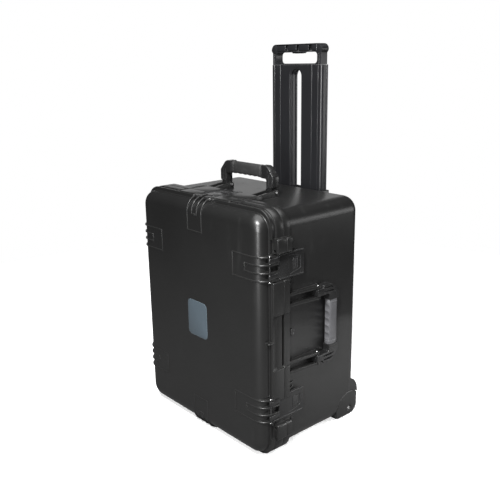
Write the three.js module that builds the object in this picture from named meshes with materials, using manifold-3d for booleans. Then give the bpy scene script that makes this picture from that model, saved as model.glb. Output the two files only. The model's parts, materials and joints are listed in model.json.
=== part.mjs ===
// A wheeled hard transport case, standing on end: lid to the front (-Y), base behind it, trolley handle at
// the back (+Y), latches and side handle on the right (+X), hinge on the left (-X). Millimetres, +Z up.
import * as THREE from "three";
import { mergeVertices } from "three/addons/utils/BufferGeometryUtils.js";
import Module from "manifold-3d";

const wasm = await Module();
wasm.setup();

// ---------------------------------------------------------------- driving dimensions
const GAP = 0.3; // between pieces that touch

// Shells, without their fittings.
const WIDTH = 476;
const HEIGHT = 605;
const FRONT = -173.5;
const SEAM = -105;
const BACK = 173.5;
const WALL = 6;
const CORNER = 38;
const EDGE = 28;

// Flange round the seam.
const RIM_PROUD = 9.5;
const LID_RIM_FRONT = -143;
const BASE_RIM_BACK = -83;
const SEAL_OFFSET = -4.5;
const SEAL_WIDTH = 3;

// Ribbed bumper pads; the bottom one is what the case stands on.
const FLOOR = 12.2;
const RIB = { pitch: 19, width: 5, end: -121, low: 1.5 };
const SIDE_PADS = [481, 124];
const SIDE_REACH = 94;
const END_REACH = 75;
const INNER_SHORTER = 45;

// Latches: a fork on a pin in front of the flange, and a plate over it.
const PIN = { y: -147, u: 7.6, r: 2.5, half: 31.4 };
const LATCH = { front: -120.5, back: -40, half: 31, under: 4, over: 9.9 };
const BUTTON = { y: -66, long: 18, wide: 30 };
const KEEPER = { front: -100, back: -94, high: 2.4 };
const POCKET_FLOOR = 1.4;

// Padlock eyes, above the upper side pad and below the lower one.
const EYE = { u: 11, r: 4.2, tab: 21.5, corner: 5, front: -134, back: -88 };
const EYES = [
  { hole: 521.5, low: 514.5, high: 550 },
  { hole: 74, low: 44, high: 84 },
];

// Hinge on the left: its axis lies in the seam, just outside the flange.
const HINGE = { x: -253.5, r: 6, pin: 3, knuckle: 13, leaf: 24 };

// Carrying handles.
const HANDLE = { leg_in: 78, leg_out: 96, rib: 7, reach: 67, thick: 21, hub: 8, pin: 3, grip: 60 };
const TOP_PIVOT = { y: 8, u: 11 };
const SIDE_PIVOT = { y: 8, u: 11, z: 304 };

// Trolley handle, drawn out.
const TROLLEY = { half: 94, front: 180, back: 206.5, foot: 545, cap: 925, top: 978, slot: 19.5, round: 7 };
const MID_Y = (TROLLEY.front + TROLLEY.back) / 2;
const LOOP = { low: 928, high: 957, half: 76, post: 89, corner: 16, wall: 4 };
const LOOP_POCKETS = [[-72, -39], [-29, 2], [12, 47], [58, 76]];
const TRIGGER = { half: 22, proud: 3, travel: 4, thick: 9 };
const GUIDE = { low: 120, high: 597, wall: 3.4, flange: 14, plate: 4, play: 1 };
const SCREW = { r: 2, hole: 2.4, head: 4.6, tall: 3, from_end: 40 };
const BOLT = { r: 4, long: 14, z: 556 };

// Wheels in the bottom back corners.
const WHEEL = { y: 153, z: 18, r: 30.2, hub: 20, x: 209, half: 12, axle: 4 };
const HOUSING = {
  inner: 184, outer: 236.5, cavity: 33, slot: 13.5,
  back: 184, corner: 25, round: 50, groove: 2,
};
const BOSS_TOP = 104;
const AXLE_RECESS = { r: 9, deep: 2 };
const BEARING = { r: 11, half: 2.8, from_face: 3.8 };

// The pressure valve, beside the side handle, and the label in the middle of the lid.
const VALVE = { y: -70, z: 305, stem: 5.5, r: 9, high: 4.5 };
const LABEL = { z: 299, high: 96, wide: 78, corner: 12, proud: 0.4, deep: 1 };

// Facets of round bars.
const SIDES = { large: 12, middle: 10, small: 8 };
const PAST = 1; // how far a cutting tool runs past the face it cuts

const MATERIALS = {
  shell: new THREE.MeshStandardMaterial({ color: 0x26272a, roughness: 0.5, metalness: 0 }),
  fitting: new THREE.MeshStandardMaterial({ color: 0x1e1f21, roughness: 0.42, metalness: 0 }),
  trolley: new THREE.MeshStandardMaterial({ color: 0x323338, roughness: 0.38, metalness: 0 }),
  grip: new THREE.MeshStandardMaterial({ color: 0x6f6f72, roughness: 0.7, metalness: 0 }),
  dark_grip: new THREE.MeshStandardMaterial({ color: 0x2c2c2e, roughness: 0.7, metalness: 0 }),
  label: new THREE.MeshStandardMaterial({ color: 0x55646d, roughness: 0.55, metalness: 0 }),
  steel: new THREE.MeshStandardMaterial({ color: 0xc9cbcd, roughness: 0.25, metalness: 1 }),
  seal: new THREE.MeshStandardMaterial({ color: 0x151515, roughness: 0.8, metalness: 0 }),
  tyre: new THREE.MeshStandardMaterial({ color: 0x1a1a1a, roughness: 0.75, metalness: 0 }),
};

// ---------------------------------------------------------------- shape helpers
// The extrusion direction of each axis: a cyclic turn, so that no face is mirrored.
const TURN = {
  x: new THREE.Matrix4().set(0, 0, 1, 0, 1, 0, 0, 0, 0, 1, 0, 0, 0, 0, 0, 1),
  y: new THREE.Matrix4().set(0, 1, 0, 0, 0, 0, 1, 0, 1, 0, 0, 0, 0, 0, 0, 1),
  z: new THREE.Matrix4(),
};

function solid(geometry, matrix) {
  const g = geometry.clone();
  if (matrix) g.applyMatrix4(matrix);
  g.deleteAttribute("normal");
  g.deleteAttribute("uv");
  const merged = mergeVertices(g, 1e-4);
  const source = new wasm.Mesh({
    numProp: 3,
    vertProperties: new Float32Array(merged.attributes.position.array),
    triVerts: new Uint32Array(merged.index.array),
  });
  return new wasm.Manifold(source);
}

const join = (first, ...rest) => rest.reduce((whole, piece) => whole.add(piece), first);
const cut = (first, ...rest) => rest.reduce((whole, piece) => whole.subtract(piece), first);

function moved(x, y, z) {
  return new THREE.Matrix4().makeTranslation(x, y, z);
}

// A box between two opposite corners.
function box(x0, x1, y0, y1, z0, z1, matrix) {
  const g = new THREE.BoxGeometry(x1 - x0, y1 - y0, z1 - z0);
  g.translate((x0 + x1) / 2, (y0 + y1) / 2, (z0 + z1) / 2);
  return solid(g, matrix);
}

// An outline pushed along an axis from one place to another. An outline along x is drawn in (y, z), one
// along y in (z, x), and one along z in (x, y).
function prism(shape, axis, from, to, matrix, curveSegments = 6) {
  const g = new THREE.ExtrudeGeometry(shape, { depth: to - from, bevelEnabled: false, curveSegments });
  g.translate(0, 0, from);
  g.applyMatrix4(TURN[axis]);
  return solid(g, matrix);
}

function polygon(points) {
  return new THREE.Shape(points.map(([a, b]) => new THREE.Vector2(a, b)));
}

function roundedRectangle(wide, high, r, middle = [0, 0]) {
  const [x, y] = [middle[0] - wide / 2, middle[1] - high / 2];
  const s = new THREE.Shape();
  s.absarc(x + wide - r, y + r, r, -Math.PI / 2, 0);
  s.absarc(x + wide - r, y + high - r, r, 0, Math.PI / 2);
  s.absarc(x + r, y + high - r, r, Math.PI / 2, Math.PI);
  s.absarc(x + r, y + r, r, Math.PI, 1.5 * Math.PI);
  s.closePath();
  return s;
}

// A round bar along an axis; middle is its place in the two other axes, in x, y, z order.
function rod(axis, r, from, to, middle, segments = 20, matrix) {
  const g = new THREE.CylinderGeometry(r, r, to - from, segments);
  g.translate(0, (from + to) / 2, 0);
  if (axis === "x") g.rotateZ(-Math.PI / 2).translate(0, middle[0], middle[1]);
  if (axis === "y") g.translate(middle[0], 0, middle[1]);
  if (axis === "z") g.rotateX(Math.PI / 2).translate(middle[0], middle[1], 0);
  return solid(g, matrix);
}

// A turned ring or disc about the x axis: its profile is a list of (radius, x).
function turned(profile, segments, x, y, z) {
  const g = new THREE.LatheGeometry(profile.map(([r, h]) => new THREE.Vector2(r, h)), segments);
  g.rotateZ(-Math.PI / 2);
  g.translate(x, y, z);
  return solid(g);
}

// A rounded rectangle of the shell's proportions, grown by a margin, from one depth to another.
function band(margin, y0, y1) {
  const shape = roundedRectangle(HEIGHT + 2 * margin, WIDTH + 2 * margin, CORNER + margin);
  return prism(shape, "y", y0, y1, moved(0, 0, HEIGHT / 2), 4);
}

// The same, with its edges rounded at both ends.
function pillow(margin, edge, y0, y1) {
  const [high, wide] = [HEIGHT + 2 * margin - 2 * edge, WIDTH + 2 * margin - 2 * edge];
  const g = new THREE.ExtrudeGeometry(roundedRectangle(high, wide, CORNER + margin - edge), {
    depth: y1 - y0 - 2 * edge,
    bevelThickness: edge,
    bevelSize: edge,
    bevelSegments: 3,
    curveSegments: 4,
  });
  g.translate(0, 0, y0 + edge);
  g.applyMatrix4(TURN.y);
  return solid(g, moved(0, 0, HEIGHT / 2));
}

// Each side wall has a frame of its own: x runs along the wall, y is the case's depth, z stands out of it.
function wallFrame(side, along) {
  const turn = { top: 0, right: Math.PI / 2, bottom: Math.PI, left: -Math.PI / 2 }[side];
  const place = {
    top: [along, 0, HEIGHT],
    right: [WIDTH / 2, 0, along],
    bottom: [along, 0, 0],
    left: [-WIDTH / 2, 0, along],
  }[side];
  return moved(...place).multiply(new THREE.Matrix4().makeRotationY(turn));
}

const PADS = [
  { name: "top", side: "top", along: 0, reach: END_REACH },
  { name: "bottom", side: "bottom", along: 0, reach: END_REACH },
  { name: "right_upper", side: "right", along: SIDE_PADS[0], reach: SIDE_REACH },
  { name: "right_lower", side: "right", along: SIDE_PADS[1], reach: SIDE_REACH },
  { name: "left_upper", side: "left", along: SIDE_PADS[0], reach: SIDE_REACH },
  { name: "left_lower", side: "left", along: SIDE_PADS[1], reach: SIDE_REACH },
];
const LATCHED = PADS.filter((pad) => pad.side !== "left");
const HINGED = PADS.filter((pad) => pad.side === "left");

// ---------------------------------------------------------------- bumper ribs
// One rib's side view, in (depth, height over the wall): along the lid's face, round its edge, over the
// flange. It rises from a low line on the face to the pad's full height on the flange.
function ribShape(reach) {
  const [cy, cu] = [FRONT + EDGE, -EDGE];
  const steps = 4;
  const outer = [[FRONT - RIB.low, -reach]];
  for (let i = 0; i <= steps; i++) {
    const t = i / steps;
    const r = EDGE + RIB.low + (FLOOR - RIB.low - 1.5) * t * t;
    const angle = (t * Math.PI) / 2;
    outer.push([cy - r * Math.cos(angle), cu + r * Math.sin(angle)]);
  }
  outer.push([LID_RIM_FRONT + 6, FLOOR], [RIB.end, FLOOR]);
  const inner = [
    [RIB.end, 1],
    [cy, -3],
    [FRONT + 3, cu],
    [FRONT + 3, -reach],
  ];
  return polygon([...outer, ...inner]);
}

function pad({ side, along, reach }) {
  const frame = wallFrame(side, along);
  const half = RIB.width / 2;
  const ribs = [-1.5, -0.5, 0.5, 1.5].map((place) => {
    const a = place * RIB.pitch;
    const length = Math.abs(place) > 1 ? reach : reach - INNER_SHORTER;
    return prism(ribShape(length), "x", a - half, a + half, frame);
  });
  const [outside, inside] = [1.5 * RIB.pitch + half, 0.5 * RIB.pitch + half];
  const [face, back] = [FRONT - RIB.low, FRONT + 2];
  const shorter = reach - INNER_SHORTER;
  return join(
    ...ribs,
    box(-outside, outside, face, back, -reach, -reach + 3, frame),
    box(-inside, inside, face, back, -shorter - 3, -shorter + 1, frame),
  );
}

// ---------------------------------------------------------------- lid
function latchPocket({ side, along }, y0, y1) {
  const half = LATCH.half + 1;
  return box(-half, half, y0, y1, POCKET_FLOOR, FLOOR + 5, wallFrame(side, along));
}

function eyeTab({ hole, low, high }, y0, y1) {
  const x = WIDTH / 2;
  const [inward, outward] = [x - 4, x + EYE.tab];
  const middle = [(low + high) / 2, (inward + outward) / 2];
  const shape = roundedRectangle(high - low, outward - inward, EYE.corner, middle);
  const bore = rod("y", EYE.r, y0 - PAST, y1 + PAST, [x + EYE.u, hole], SIDES.large);
  return cut(prism(shape, "y", y0, y1), bore);
}

// Hinge knuckles about the seam, each with a leaf that reaches into its own flange.
function knuckles(middles, side) {
  const y = SEAM + side * HINGE.leaf;
  return middles.map((z) => {
    const [low, high] = [z - HINGE.knuckle / 2, z + HINGE.knuckle / 2];
    const leaf = polygon([
      [HINGE.x - HINGE.r + 1, SEAM + side * 2],
      [-WIDTH / 2 - 2, SEAM + side * 2],
      [-WIDTH / 2 - 2, y],
      [-WIDTH / 2 - RIM_PROUD - 1, y],
    ]);
    return join(rod("z", HINGE.r, low, high, [HINGE.x, SEAM], SIDES.large), prism(leaf, "z", low, high));
  });
}

const KNUCKLE_STEP = HINGE.knuckle + 2 * GAP;
const lidKnuckles = HINGED.flatMap(({ along }) => [along - KNUCKLE_STEP, along + KNUCKLE_STEP]);
const baseKnuckles = HINGED.flatMap(({ along }) => [-2, 0, 2].map((n) => along + n * KNUCKLE_STEP));

// The space that the other half's knuckles turn in.
function knuckleRoom(middles, side) {
  const half = HINGE.knuckle / 2 + GAP;
  const [y0, y1] = side < 0 ? [SEAM - HINGE.r - 1.5, SEAM + 1] : [SEAM - 1, SEAM + HINGE.r + 1.5];
  return middles.map((z) => box(HINGE.x - 12, HINGE.x + HINGE.r + 1.5, y0, y1, z - half, z + half));
}

function hingeBores() {
  return HINGED.map(({ along }) =>
    rod("z", HINGE.pin + GAP, along - 40, along + 40, [HINGE.x, SEAM], SIDES.large),
  );
}

function sealRing(margin, wide, y0, y1) {
  return cut(band(margin + wide, y0, y1), band(margin, y0 - 1, y1 + 1));
}

function makeLid() {
  const outer = cut(pillow(0, EDGE, FRONT, SEAM + 60), box(-400, 400, SEAM - GAP, 400, -100, 800));
  const hollow = pillow(-WALL, EDGE - WALL, FRONT + WALL, SEAM + 60);
  const flange = band(RIM_PROUD, LID_RIM_FRONT, SEAM - GAP);
  const eyes = EYES.map((eye) => eyeTab(eye, EYE.front, SEAM - GAP));
  const body = join(outer, flange, ...eyes);
  const pockets = LATCHED.map((p) => latchPocket(p, LID_RIM_FRONT - 0.5, SEAM + 1));
  const label = roundedRectangle(LABEL.high + 2 * GAP, LABEL.wide + 2 * GAP, LABEL.corner, [LABEL.z, 0]);
  const pins = LATCHED.map(({ side, along }) =>
    rod("x", PIN.r + GAP, -PIN.half - 1, PIN.half + 1, [PIN.y, PIN.u], SIDES.middle, wallFrame(side, along)),
  );
  const ribs = PADS.map(pad);
  return cut(
    join(cut(body, ...pockets, ...knuckleRoom(baseKnuckles, -1)), ...ribs, ...knuckles(lidKnuckles, -1)),
    hollow,
    sealRing(SEAL_OFFSET - GAP, SEAL_WIDTH + 2 * GAP, SEAM - 4, SEAM + 1),
    prism(label, "y", FRONT - PAST, FRONT + LABEL.deep),
    ...pins,
    ...hingeBores(),
  );
}

// ---------------------------------------------------------------- base
// The ribs that carry a handle's pins, from the flange to the pivot, on both sides of each leg.
function handleBracket(frame, pivot) {
  const shape = new THREE.Shape();
  shape.moveTo(BASE_RIM_BACK - 2, -2);
  shape.lineTo(BASE_RIM_BACK - 2, RIM_PROUD);
  shape.lineTo(BASE_RIM_BACK + 30, RIM_PROUD + 1);
  shape.lineTo(pivot.y - 6, pivot.u + HANDLE.hub - 2);
  shape.absarc(pivot.y, pivot.u, HANDLE.hub, 0.75 * Math.PI, 0, true);
  shape.lineTo(pivot.y + HANDLE.hub, -2);
  shape.closePath();
  const edges = [HANDLE.leg_in - HANDLE.rib - 1, HANDLE.leg_out + 1];
  const ribs = edges.flatMap((a) => [
    prism(shape, "x", a, a + HANDLE.rib, frame),
    prism(shape, "x", -a - HANDLE.rib, -a, frame),
  ]);
  const reach = HANDLE.leg_out + HANDLE.rib + 2;
  const bore = rod("x", HANDLE.pin + GAP, -reach, reach, [pivot.y, pivot.u], SIDES.large, frame);
  return { ribs, bore };
}

function plateau(side) {
  const frame = wallFrame(side, 0);
  const [near, far, back] = [LATCH.half + 4, 112, -50];
  return [
    box(near, far, BASE_RIM_BACK - 2, back, -2, RIM_PROUD, frame),
    box(-far, -near, BASE_RIM_BACK - 2, back, -2, RIM_PROUD, frame),
  ];
}

// The rounded corner block that stands behind the base round each wheel.
function wheelBoss(side) {
  const shape = polygon([
    [120, 2],
    [120, BOSS_TOP],
    [164, BOSS_TOP],
    [172, 96],
    [180, 85],
    [HOUSING.back + 0.5, 72],
    [HOUSING.back + 0.5, 30],
    [160, 2],
  ]);
  const [x0, x1] = [HOUSING.inner - 8, WIDTH / 2 - 1];
  return side > 0 ? prism(shape, "x", x0, x1) : prism(shape, "x", -x1, -x0);
}

// The housing's side view: a round shoulder about the axle in front and above, and a rounded corner below.
function housingShape(grow) {
  const r = HOUSING.round + grow;
  const s = new THREE.Shape();
  const [back, bottom, corner] = [HOUSING.back + (grow ? 4 : 0), grow ? -4 : 0, HOUSING.corner];
  const top = Math.asin(Math.min(1, (back - WHEEL.y) / r));
  s.absarc(back - corner, bottom + corner, corner, -Math.PI / 2, 0);
  s.absarc(WHEEL.y, WHEEL.z, r, Math.PI / 2 - top, Math.PI + Math.asin((WHEEL.z - bottom) / r));
  s.closePath();
  return s;
}

function spanX(side, x0, x1) {
  return side > 0 ? [x0, x1] : [-x1, -x0];
}

function makeHousing(side) {
  const [x0, x1] = spanX(side, HOUSING.inner, HOUSING.outer);
  const [s0, s1] = spanX(side, WHEEL.x - HOUSING.slot, WHEEL.x + HOUSING.slot);
  const body = prism(housingShape(0), "x", x0, x1, undefined, 6);
  const well = join(
    rod("x", HOUSING.cavity, s0, s1, [WHEEL.y, WHEEL.z], SIDES.large),
    box(s0, s1, WHEEL.y - HOUSING.cavity, HOUSING.back + 5, -20, WHEEL.z),
    box(s0, s1, WHEEL.y, HOUSING.back + 5, WHEEL.z - 5, WHEEL.z + HOUSING.cavity - 12),
  );
  const recessSpan = spanX(side, HOUSING.outer - AXLE_RECESS.deep, HOUSING.outer + PAST);
  const recess = rod("x", AXLE_RECESS.r, ...recessSpan, [WHEEL.y, WHEEL.z], SIDES.large);
  const bore = rod("x", WHEEL.axle + GAP, x0 - PAST, x1 + PAST, [WHEEL.y, WHEEL.z], SIDES.large);
  return cut(body, well, recess, bore);
}

function guideScrewPlaces() {
  const a = TROLLEY.half + GUIDE.play + GUIDE.wall + GUIDE.flange / 2;
  const [high, low] = [GUIDE.high - SCREW.from_end, GUIDE.low + SCREW.from_end];
  return [[-a, high], [a, high], [-a, low], [a, low]];
}

const topHandleFrame = wallFrame("top", 0);
const sideHandleFrame = wallFrame("right", SIDE_PIVOT.z);

function makeBase() {
  const cutFront = box(-400, 400, -400, SEAM + GAP, -100, 800);
  const outer = cut(pillow(0, EDGE, SEAM - 60, BACK), cutFront);
  const hollow = pillow(-WALL, EDGE - WALL, SEAM - 60, BACK - WALL);
  const flange = band(RIM_PROUD, SEAM + GAP, BASE_RIM_BACK);
  const eyes = EYES.map((eye) => eyeTab(eye, SEAM + GAP, EYE.back));
  const pockets = LATCHED.map((p) => latchPocket(p, SEAM - 1, BASE_RIM_BACK + 1));
  const brackets = [handleBracket(topHandleFrame, TOP_PIVOT), handleBracket(sideHandleFrame, SIDE_PIVOT)];
  const keepers = LATCHED.map(({ side, along }) =>
    box(-LATCH.half, LATCH.half, KEEPER.front, KEEPER.back, -1, KEEPER.high, wallFrame(side, along)),
  );
  const wells = [1, -1].flatMap((side) => {
    const [x0, x1] = spanX(side, HOUSING.inner - GAP, WIDTH / 2 + 5);
    const [w0, w1] = spanX(side, HOUSING.inner - GAP - WALL, WIDTH / 2 - 1);
    const wall = prism(housingShape(WALL), "x", w0, w1, undefined, 6);
    return [{ wall, well: prism(housingShape(HOUSING.groove), "x", x0, x1, undefined, 6) }];
  });
  const inside = pillow(-0.5, EDGE - 0.5, SEAM - 60, BACK - 0.5);
  const shell = join(
    cut(join(outer, flange, ...eyes, wheelBoss(1), wheelBoss(-1)), hollow),
    ...wells.map(({ wall }) => wall.intersect(inside)),
  );
  const screws = guideScrewPlaces().map(([x, z]) =>
    rod("y", SCREW.hole, BACK - WALL - PAST, BACK + PAST, [x, z], SIDES.small),
  );
  const [x0, x1] = [WIDTH / 2 - WALL - PAST, WIDTH / 2 + PAST];
  const valve = rod("x", VALVE.stem + GAP, x0, x1, [VALVE.y, VALVE.z], SIDES.large);
  return cut(
    join(
      cut(shell, ...pockets, ...knuckleRoom(lidKnuckles, 1), ...wells.map(({ well }) => well)),
      ...keepers,
      ...plateau("top"),
      ...plateau("bottom"),
      ...brackets.flatMap(({ ribs }) => ribs),
      ...knuckles(baseKnuckles, 1),
    ),
    ...brackets.map(({ bore }) => bore),
    ...hingeBores(),
    ...screws,
    valve,
  );
}

// ---------------------------------------------------------------- fittings
function makeLatch({ side, along }) {
  const frame = wallFrame(side, along);
  const plate = polygon([
    [LATCH.front, LATCH.under],
    [-96, LATCH.under],
    [-93, 2.7],
    [-87, 2.7],
    [-85, LATCH.under],
    [-58, LATCH.under],
    [LATCH.back, 7],
    [LATCH.back, 11.6],
    [-52, LATCH.over],
    [LATCH.front, LATCH.over],
  ]);
  const arm = new THREE.Shape();
  arm.absarc(PIN.y, PIN.u, 4.3, 0.5 * Math.PI, 1.5 * Math.PI);
  arm.lineTo(LATCH.front + 2, LATCH.under);
  arm.lineTo(LATCH.front + 2, LATCH.over);
  arm.closePath();
  const [inner, outer] = [0.5 * RIB.pitch + RIB.width / 2 + 0.8, 1.5 * RIB.pitch - RIB.width / 2 - 0.8];
  const half = [BUTTON.long / 2 + GAP, BUTTON.wide / 2 + GAP];
  return cut(
    join(
      prism(plate, "x", -LATCH.half, LATCH.half, frame),
      prism(arm, "x", inner, outer, frame),
      prism(arm, "x", -outer, -inner, frame),
    ),
    rod("x", PIN.r + GAP, -LATCH.half - PAST, LATCH.half + PAST, [PIN.y, PIN.u], SIDES.middle, frame),
    box(-half[1], half[1], BUTTON.y - half[0], BUTTON.y + half[0], 0, 20, frame),
  );
}

function makeButton({ side, along }) {
  const [long, wide] = [BUTTON.long / 2, BUTTON.wide / 2];
  const [y0, y1] = [BUTTON.y - long, BUTTON.y + long];
  return box(-wide, wide, y0, y1, LATCH.under + 0.6, LATCH.over + 0.7, wallFrame(side, along));
}

// A carrying handle, standing out of its wall: two legs with tangs, chamfered shoulders and a grip bar.
function handleOutline(reach) {
  const out = HANDLE.leg_out + HANDLE.rib;
  const shoulder = 26;
  const tang = HANDLE.hub + 3;
  return polygon([
    [HANDLE.leg_in, -6],
    [HANDLE.leg_out, -6],
    [HANDLE.leg_out, tang],
    [out, tang + 3],
    [out, reach - shoulder],
    [out - 20, reach - 3],
    [out - 28, reach],
    [28 - out, reach],
    [20 - out, reach - 3],
    [-out, reach - shoulder],
    [-out, tang + 3],
    [-HANDLE.leg_out, tang],
    [-HANDLE.leg_out, -6],
    [-HANDLE.leg_in, -6],
    [-HANDLE.leg_in, reach - 33],
    [HANDLE.leg_in, reach - 33],
  ]);
}

// Places a handle that is drawn standing on its pivot at the origin, in (x, z) with its thickness along y.
function makeHandle(place) {
  const half = HANDLE.thick / 2;
  const toXZ = new THREE.Matrix4().makeRotationX(Math.PI / 2);
  const blank = prism(handleOutline(HANDLE.reach), "z", -half, half, toXZ);
  const out = HANDLE.leg_out + HANDLE.rib;
  const hub = cut(
    box(-out - 1, out + 1, -half - 1, half + 1, -12, 0),
    rod("x", HANDLE.hub, -out, out, [0, 0], SIDES.large),
  );
  const gripRoom = box(-HANDLE.grip - GAP, HANDLE.grip + GAP, -half - 1, half + 1, 31, HANDLE.reach + 1);
  const core = box(-HANDLE.grip - 2, HANDLE.grip + 2, -5, 5, 43, 57);
  const bore = rod("x", HANDLE.pin + GAP, -out - 1, out + 1, [0, 0], SIDES.large);
  const body = cut(join(cut(blank, hub, gripRoom), core), bore);
  return moveSolid(body, place);
}

function makeGrip(place) {
  const half = HANDLE.thick / 2 - 0.4;
  const shape = roundedRectangle(2 * half, 33, 9, [0, 50]);
  const blank = prism(shape, "x", -HANDLE.grip, HANDLE.grip, undefined, 6);
  const core = box(-HANDLE.grip - 5, HANDLE.grip + 5, -5 - GAP, 5 + GAP, 43 - GAP, 57 + GAP);
  const scallops = [-36, -12, 12, 36].map((x) => rod("y", 16, -20, 20, [x, 20.5], 14));
  return moveSolid(cut(blank, core, ...scallops), place);
}

// A finished solid, moved by a matrix.
function moveSolid(body, matrix) {
  return solid(geometryOf(body), matrix);
}

function geometryOf(body) {
  const data = body.getMesh();
  const g = new THREE.BufferGeometry();
  g.setAttribute("position", new THREE.BufferAttribute(new Float32Array(data.vertProperties), 3));
  g.setIndex(new THREE.BufferAttribute(new Uint32Array(data.triVerts), 1));
  return g;
}

const topHandlePlace = moved(0, TOP_PIVOT.y, HEIGHT + TOP_PIVOT.u);
const sideHandlePlace = moved(WIDTH / 2 + SIDE_PIVOT.u, SIDE_PIVOT.y, SIDE_PIVOT.z)
  .multiply(new THREE.Matrix4().makeRotationY(Math.PI / 2))
  .multiply(new THREE.Matrix4().makeRotationX(-Math.PI / 2));

function makePin(frame, pivot, sign) {
  const [a0, a1] = [HANDLE.leg_in - HANDLE.rib - 1.4, HANDLE.leg_out + HANDLE.rib + 1.4];
  return rod("x", HANDLE.pin, ...spanX(sign, a0, a1), [pivot.y, pivot.u], SIDES.large, frame);
}

function makePanel() {
  const { half, front, back, foot, cap, slot } = TROLLEY;
  const shape = new THREE.Shape();
  const round = TROLLEY.round;
  shape.absarc(half - round, back - round, round, 0, Math.PI / 2);
  shape.absarc(round - half, back - round, round, Math.PI / 2, Math.PI);
  shape.absarc(round - half, front + round, round, Math.PI, 1.5 * Math.PI);
  shape.absarc(half - round, front + round, round, 1.5 * Math.PI, 2 * Math.PI);
  const opening = new THREE.Shape();
  opening.absarc(foot + 25, 0, slot, Math.PI / 2, 1.5 * Math.PI);
  opening.absarc(cap - 10 - slot, 0, slot, -Math.PI / 2, Math.PI / 2);
  const bolts = [1, -1].map((side) =>
    rod("x", BOLT.r + GAP, ...spanX(side, half - BOLT.long - 6, half + PAST), [MID_Y, BOLT.z], SIDES.middle),
  );
  return cut(
    prism(shape, "z", foot, cap - GAP, undefined, 4),
    prism(opening, "y", front - 1, back + 1, undefined, 4),
    ...bolts,
  );
}

function makeLoop() {
  const { half, front, back, cap, top } = TROLLEY;
  const outline = new THREE.Shape();
  outline.moveTo(cap, -LOOP.post);
  outline.lineTo(cap, LOOP.post);
  outline.lineTo(LOOP.high - 2, LOOP.post);
  outline.lineTo(LOOP.high + 4, half);
  outline.absarc(top - LOOP.corner, half - LOOP.corner, LOOP.corner, Math.PI / 2, 0, true);
  outline.absarc(top - LOOP.corner, LOOP.corner - half, LOOP.corner, 0, -Math.PI / 2, true);
  outline.lineTo(LOOP.high + 4, -half);
  outline.lineTo(LOOP.high - 2, -LOOP.post);
  outline.closePath();
  const hole = roundedRectangle(LOOP.high - LOOP.low, 2 * LOOP.half, 9, [(LOOP.high + LOOP.low) / 2, 0]);
  const pockets = LOOP_POCKETS.map(([x0, x1]) =>
    box(x0, x1, front - PAST, front + 7, LOOP.high + LOOP.wall, top - LOOP.wall),
  );
  const trigger = box(-TRIGGER.half - GAP, TRIGGER.half + GAP, MID_Y - 5, MID_Y + 5, LOOP.high - 1, top - 5);
  return cut(
    prism(outline, "y", front + 1, back - 1, undefined, 4),
    prism(hole, "y", front, back, undefined, 4),
    ...pockets,
    trigger,
  );
}

function makeTrigger() {
  const low = LOOP.high - TRIGGER.proud;
  const y = [MID_Y - TRIGGER.thick / 2, MID_Y + TRIGGER.thick / 2];
  return box(-TRIGGER.half, TRIGGER.half, ...y, low, TROLLEY.top - 5 - TRIGGER.travel - 1);
}

function makeBolt(side) {
  const out = TROLLEY.half - 0.2;
  return rod("x", BOLT.r, ...spanX(side, out - BOLT.long, out), [MID_Y, BOLT.z], SIDES.middle);
}

// The channel that the panel runs in, closed at the foot, with flanges screwed to the base.
function makeGuide() {
  const inside = TROLLEY.half + GUIDE.play;
  const outside = inside + GUIDE.wall;
  const back = TROLLEY.back + 0.8;
  const front = BACK + GAP;
  const [low, high] = [GUIDE.low, GUIDE.high];
  const channel = cut(
    box(-outside, outside, front, back + GUIDE.wall, low, high),
    box(-inside, inside, front - 1, back, low + GUIDE.wall, high + 1),
  );
  const flange = (side) => {
    const [x0, x1] = spanX(side, outside - 1, outside + GUIDE.flange);
    return box(x0, x1, front, front + GUIDE.plate, low, high);
  };
  const holes = guideScrewPlaces().map(([x, z]) =>
    rod("y", SCREW.hole, front - PAST, front + GUIDE.plate + PAST, [x, z], SIDES.small),
  );
  return cut(join(channel, flange(1), flange(-1)), ...holes);
}

function makeScrew([x, z]) {
  const seat = BACK + GAP + GUIDE.plate;
  return join(
    rod("y", SCREW.r, BACK - WALL + 0.5, seat + 1, [x, z], SIDES.small),
    rod("y", SCREW.head, seat + GAP, seat + SCREW.tall, [x, z], SIDES.middle),
  );
}

// A wheel: tyre on a hub that turns on two ball bearings round a steel axle.
function makeTyre(side) {
  const { r, hub, half, y, z, x } = WHEEL;
  const profile = [
    [hub, -half],
    [r - 4, -half],
    [r, 4 - half],
    [r, half - 4],
    [r - 4, half],
    [hub, half],
    [hub, -half],
  ];
  return turned(profile, 24, side * x, y, z);
}

function makeHub(side) {
  const { hub, half, y, z, x } = WHEEL;
  const [seat, bore, deep] = [BEARING.r + GAP, BEARING.r - 2, half - 7];
  const profile = [
    [bore, -deep],
    [seat, -deep],
    [seat, 1 - half],
    [hub - GAP, 1 - half],
    [hub - GAP, half - 1],
    [seat, half - 1],
    [seat, deep],
    [bore, deep],
    [bore, -deep],
  ];
  return turned(profile, 16, side * x, y, z);
}

function makeBearing(side, end) {
  const middle = side * WHEEL.x + end * (WHEEL.half - BEARING.from_face);
  const [bore, { r, half }] = [WHEEL.axle + GAP, BEARING];
  const ring = [[bore, -half], [r, -half], [r, half], [bore, half], [bore, -half]];
  return turned(ring, SIDES.large, middle, WHEEL.y, WHEEL.z);
}

function makeAxle(side) {
  const ends = spanX(side, HOUSING.inner + 1, HOUSING.outer - 0.6);
  return rod("x", WHEEL.axle, ...ends, [WHEEL.y, WHEEL.z], SIDES.large);
}

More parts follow.
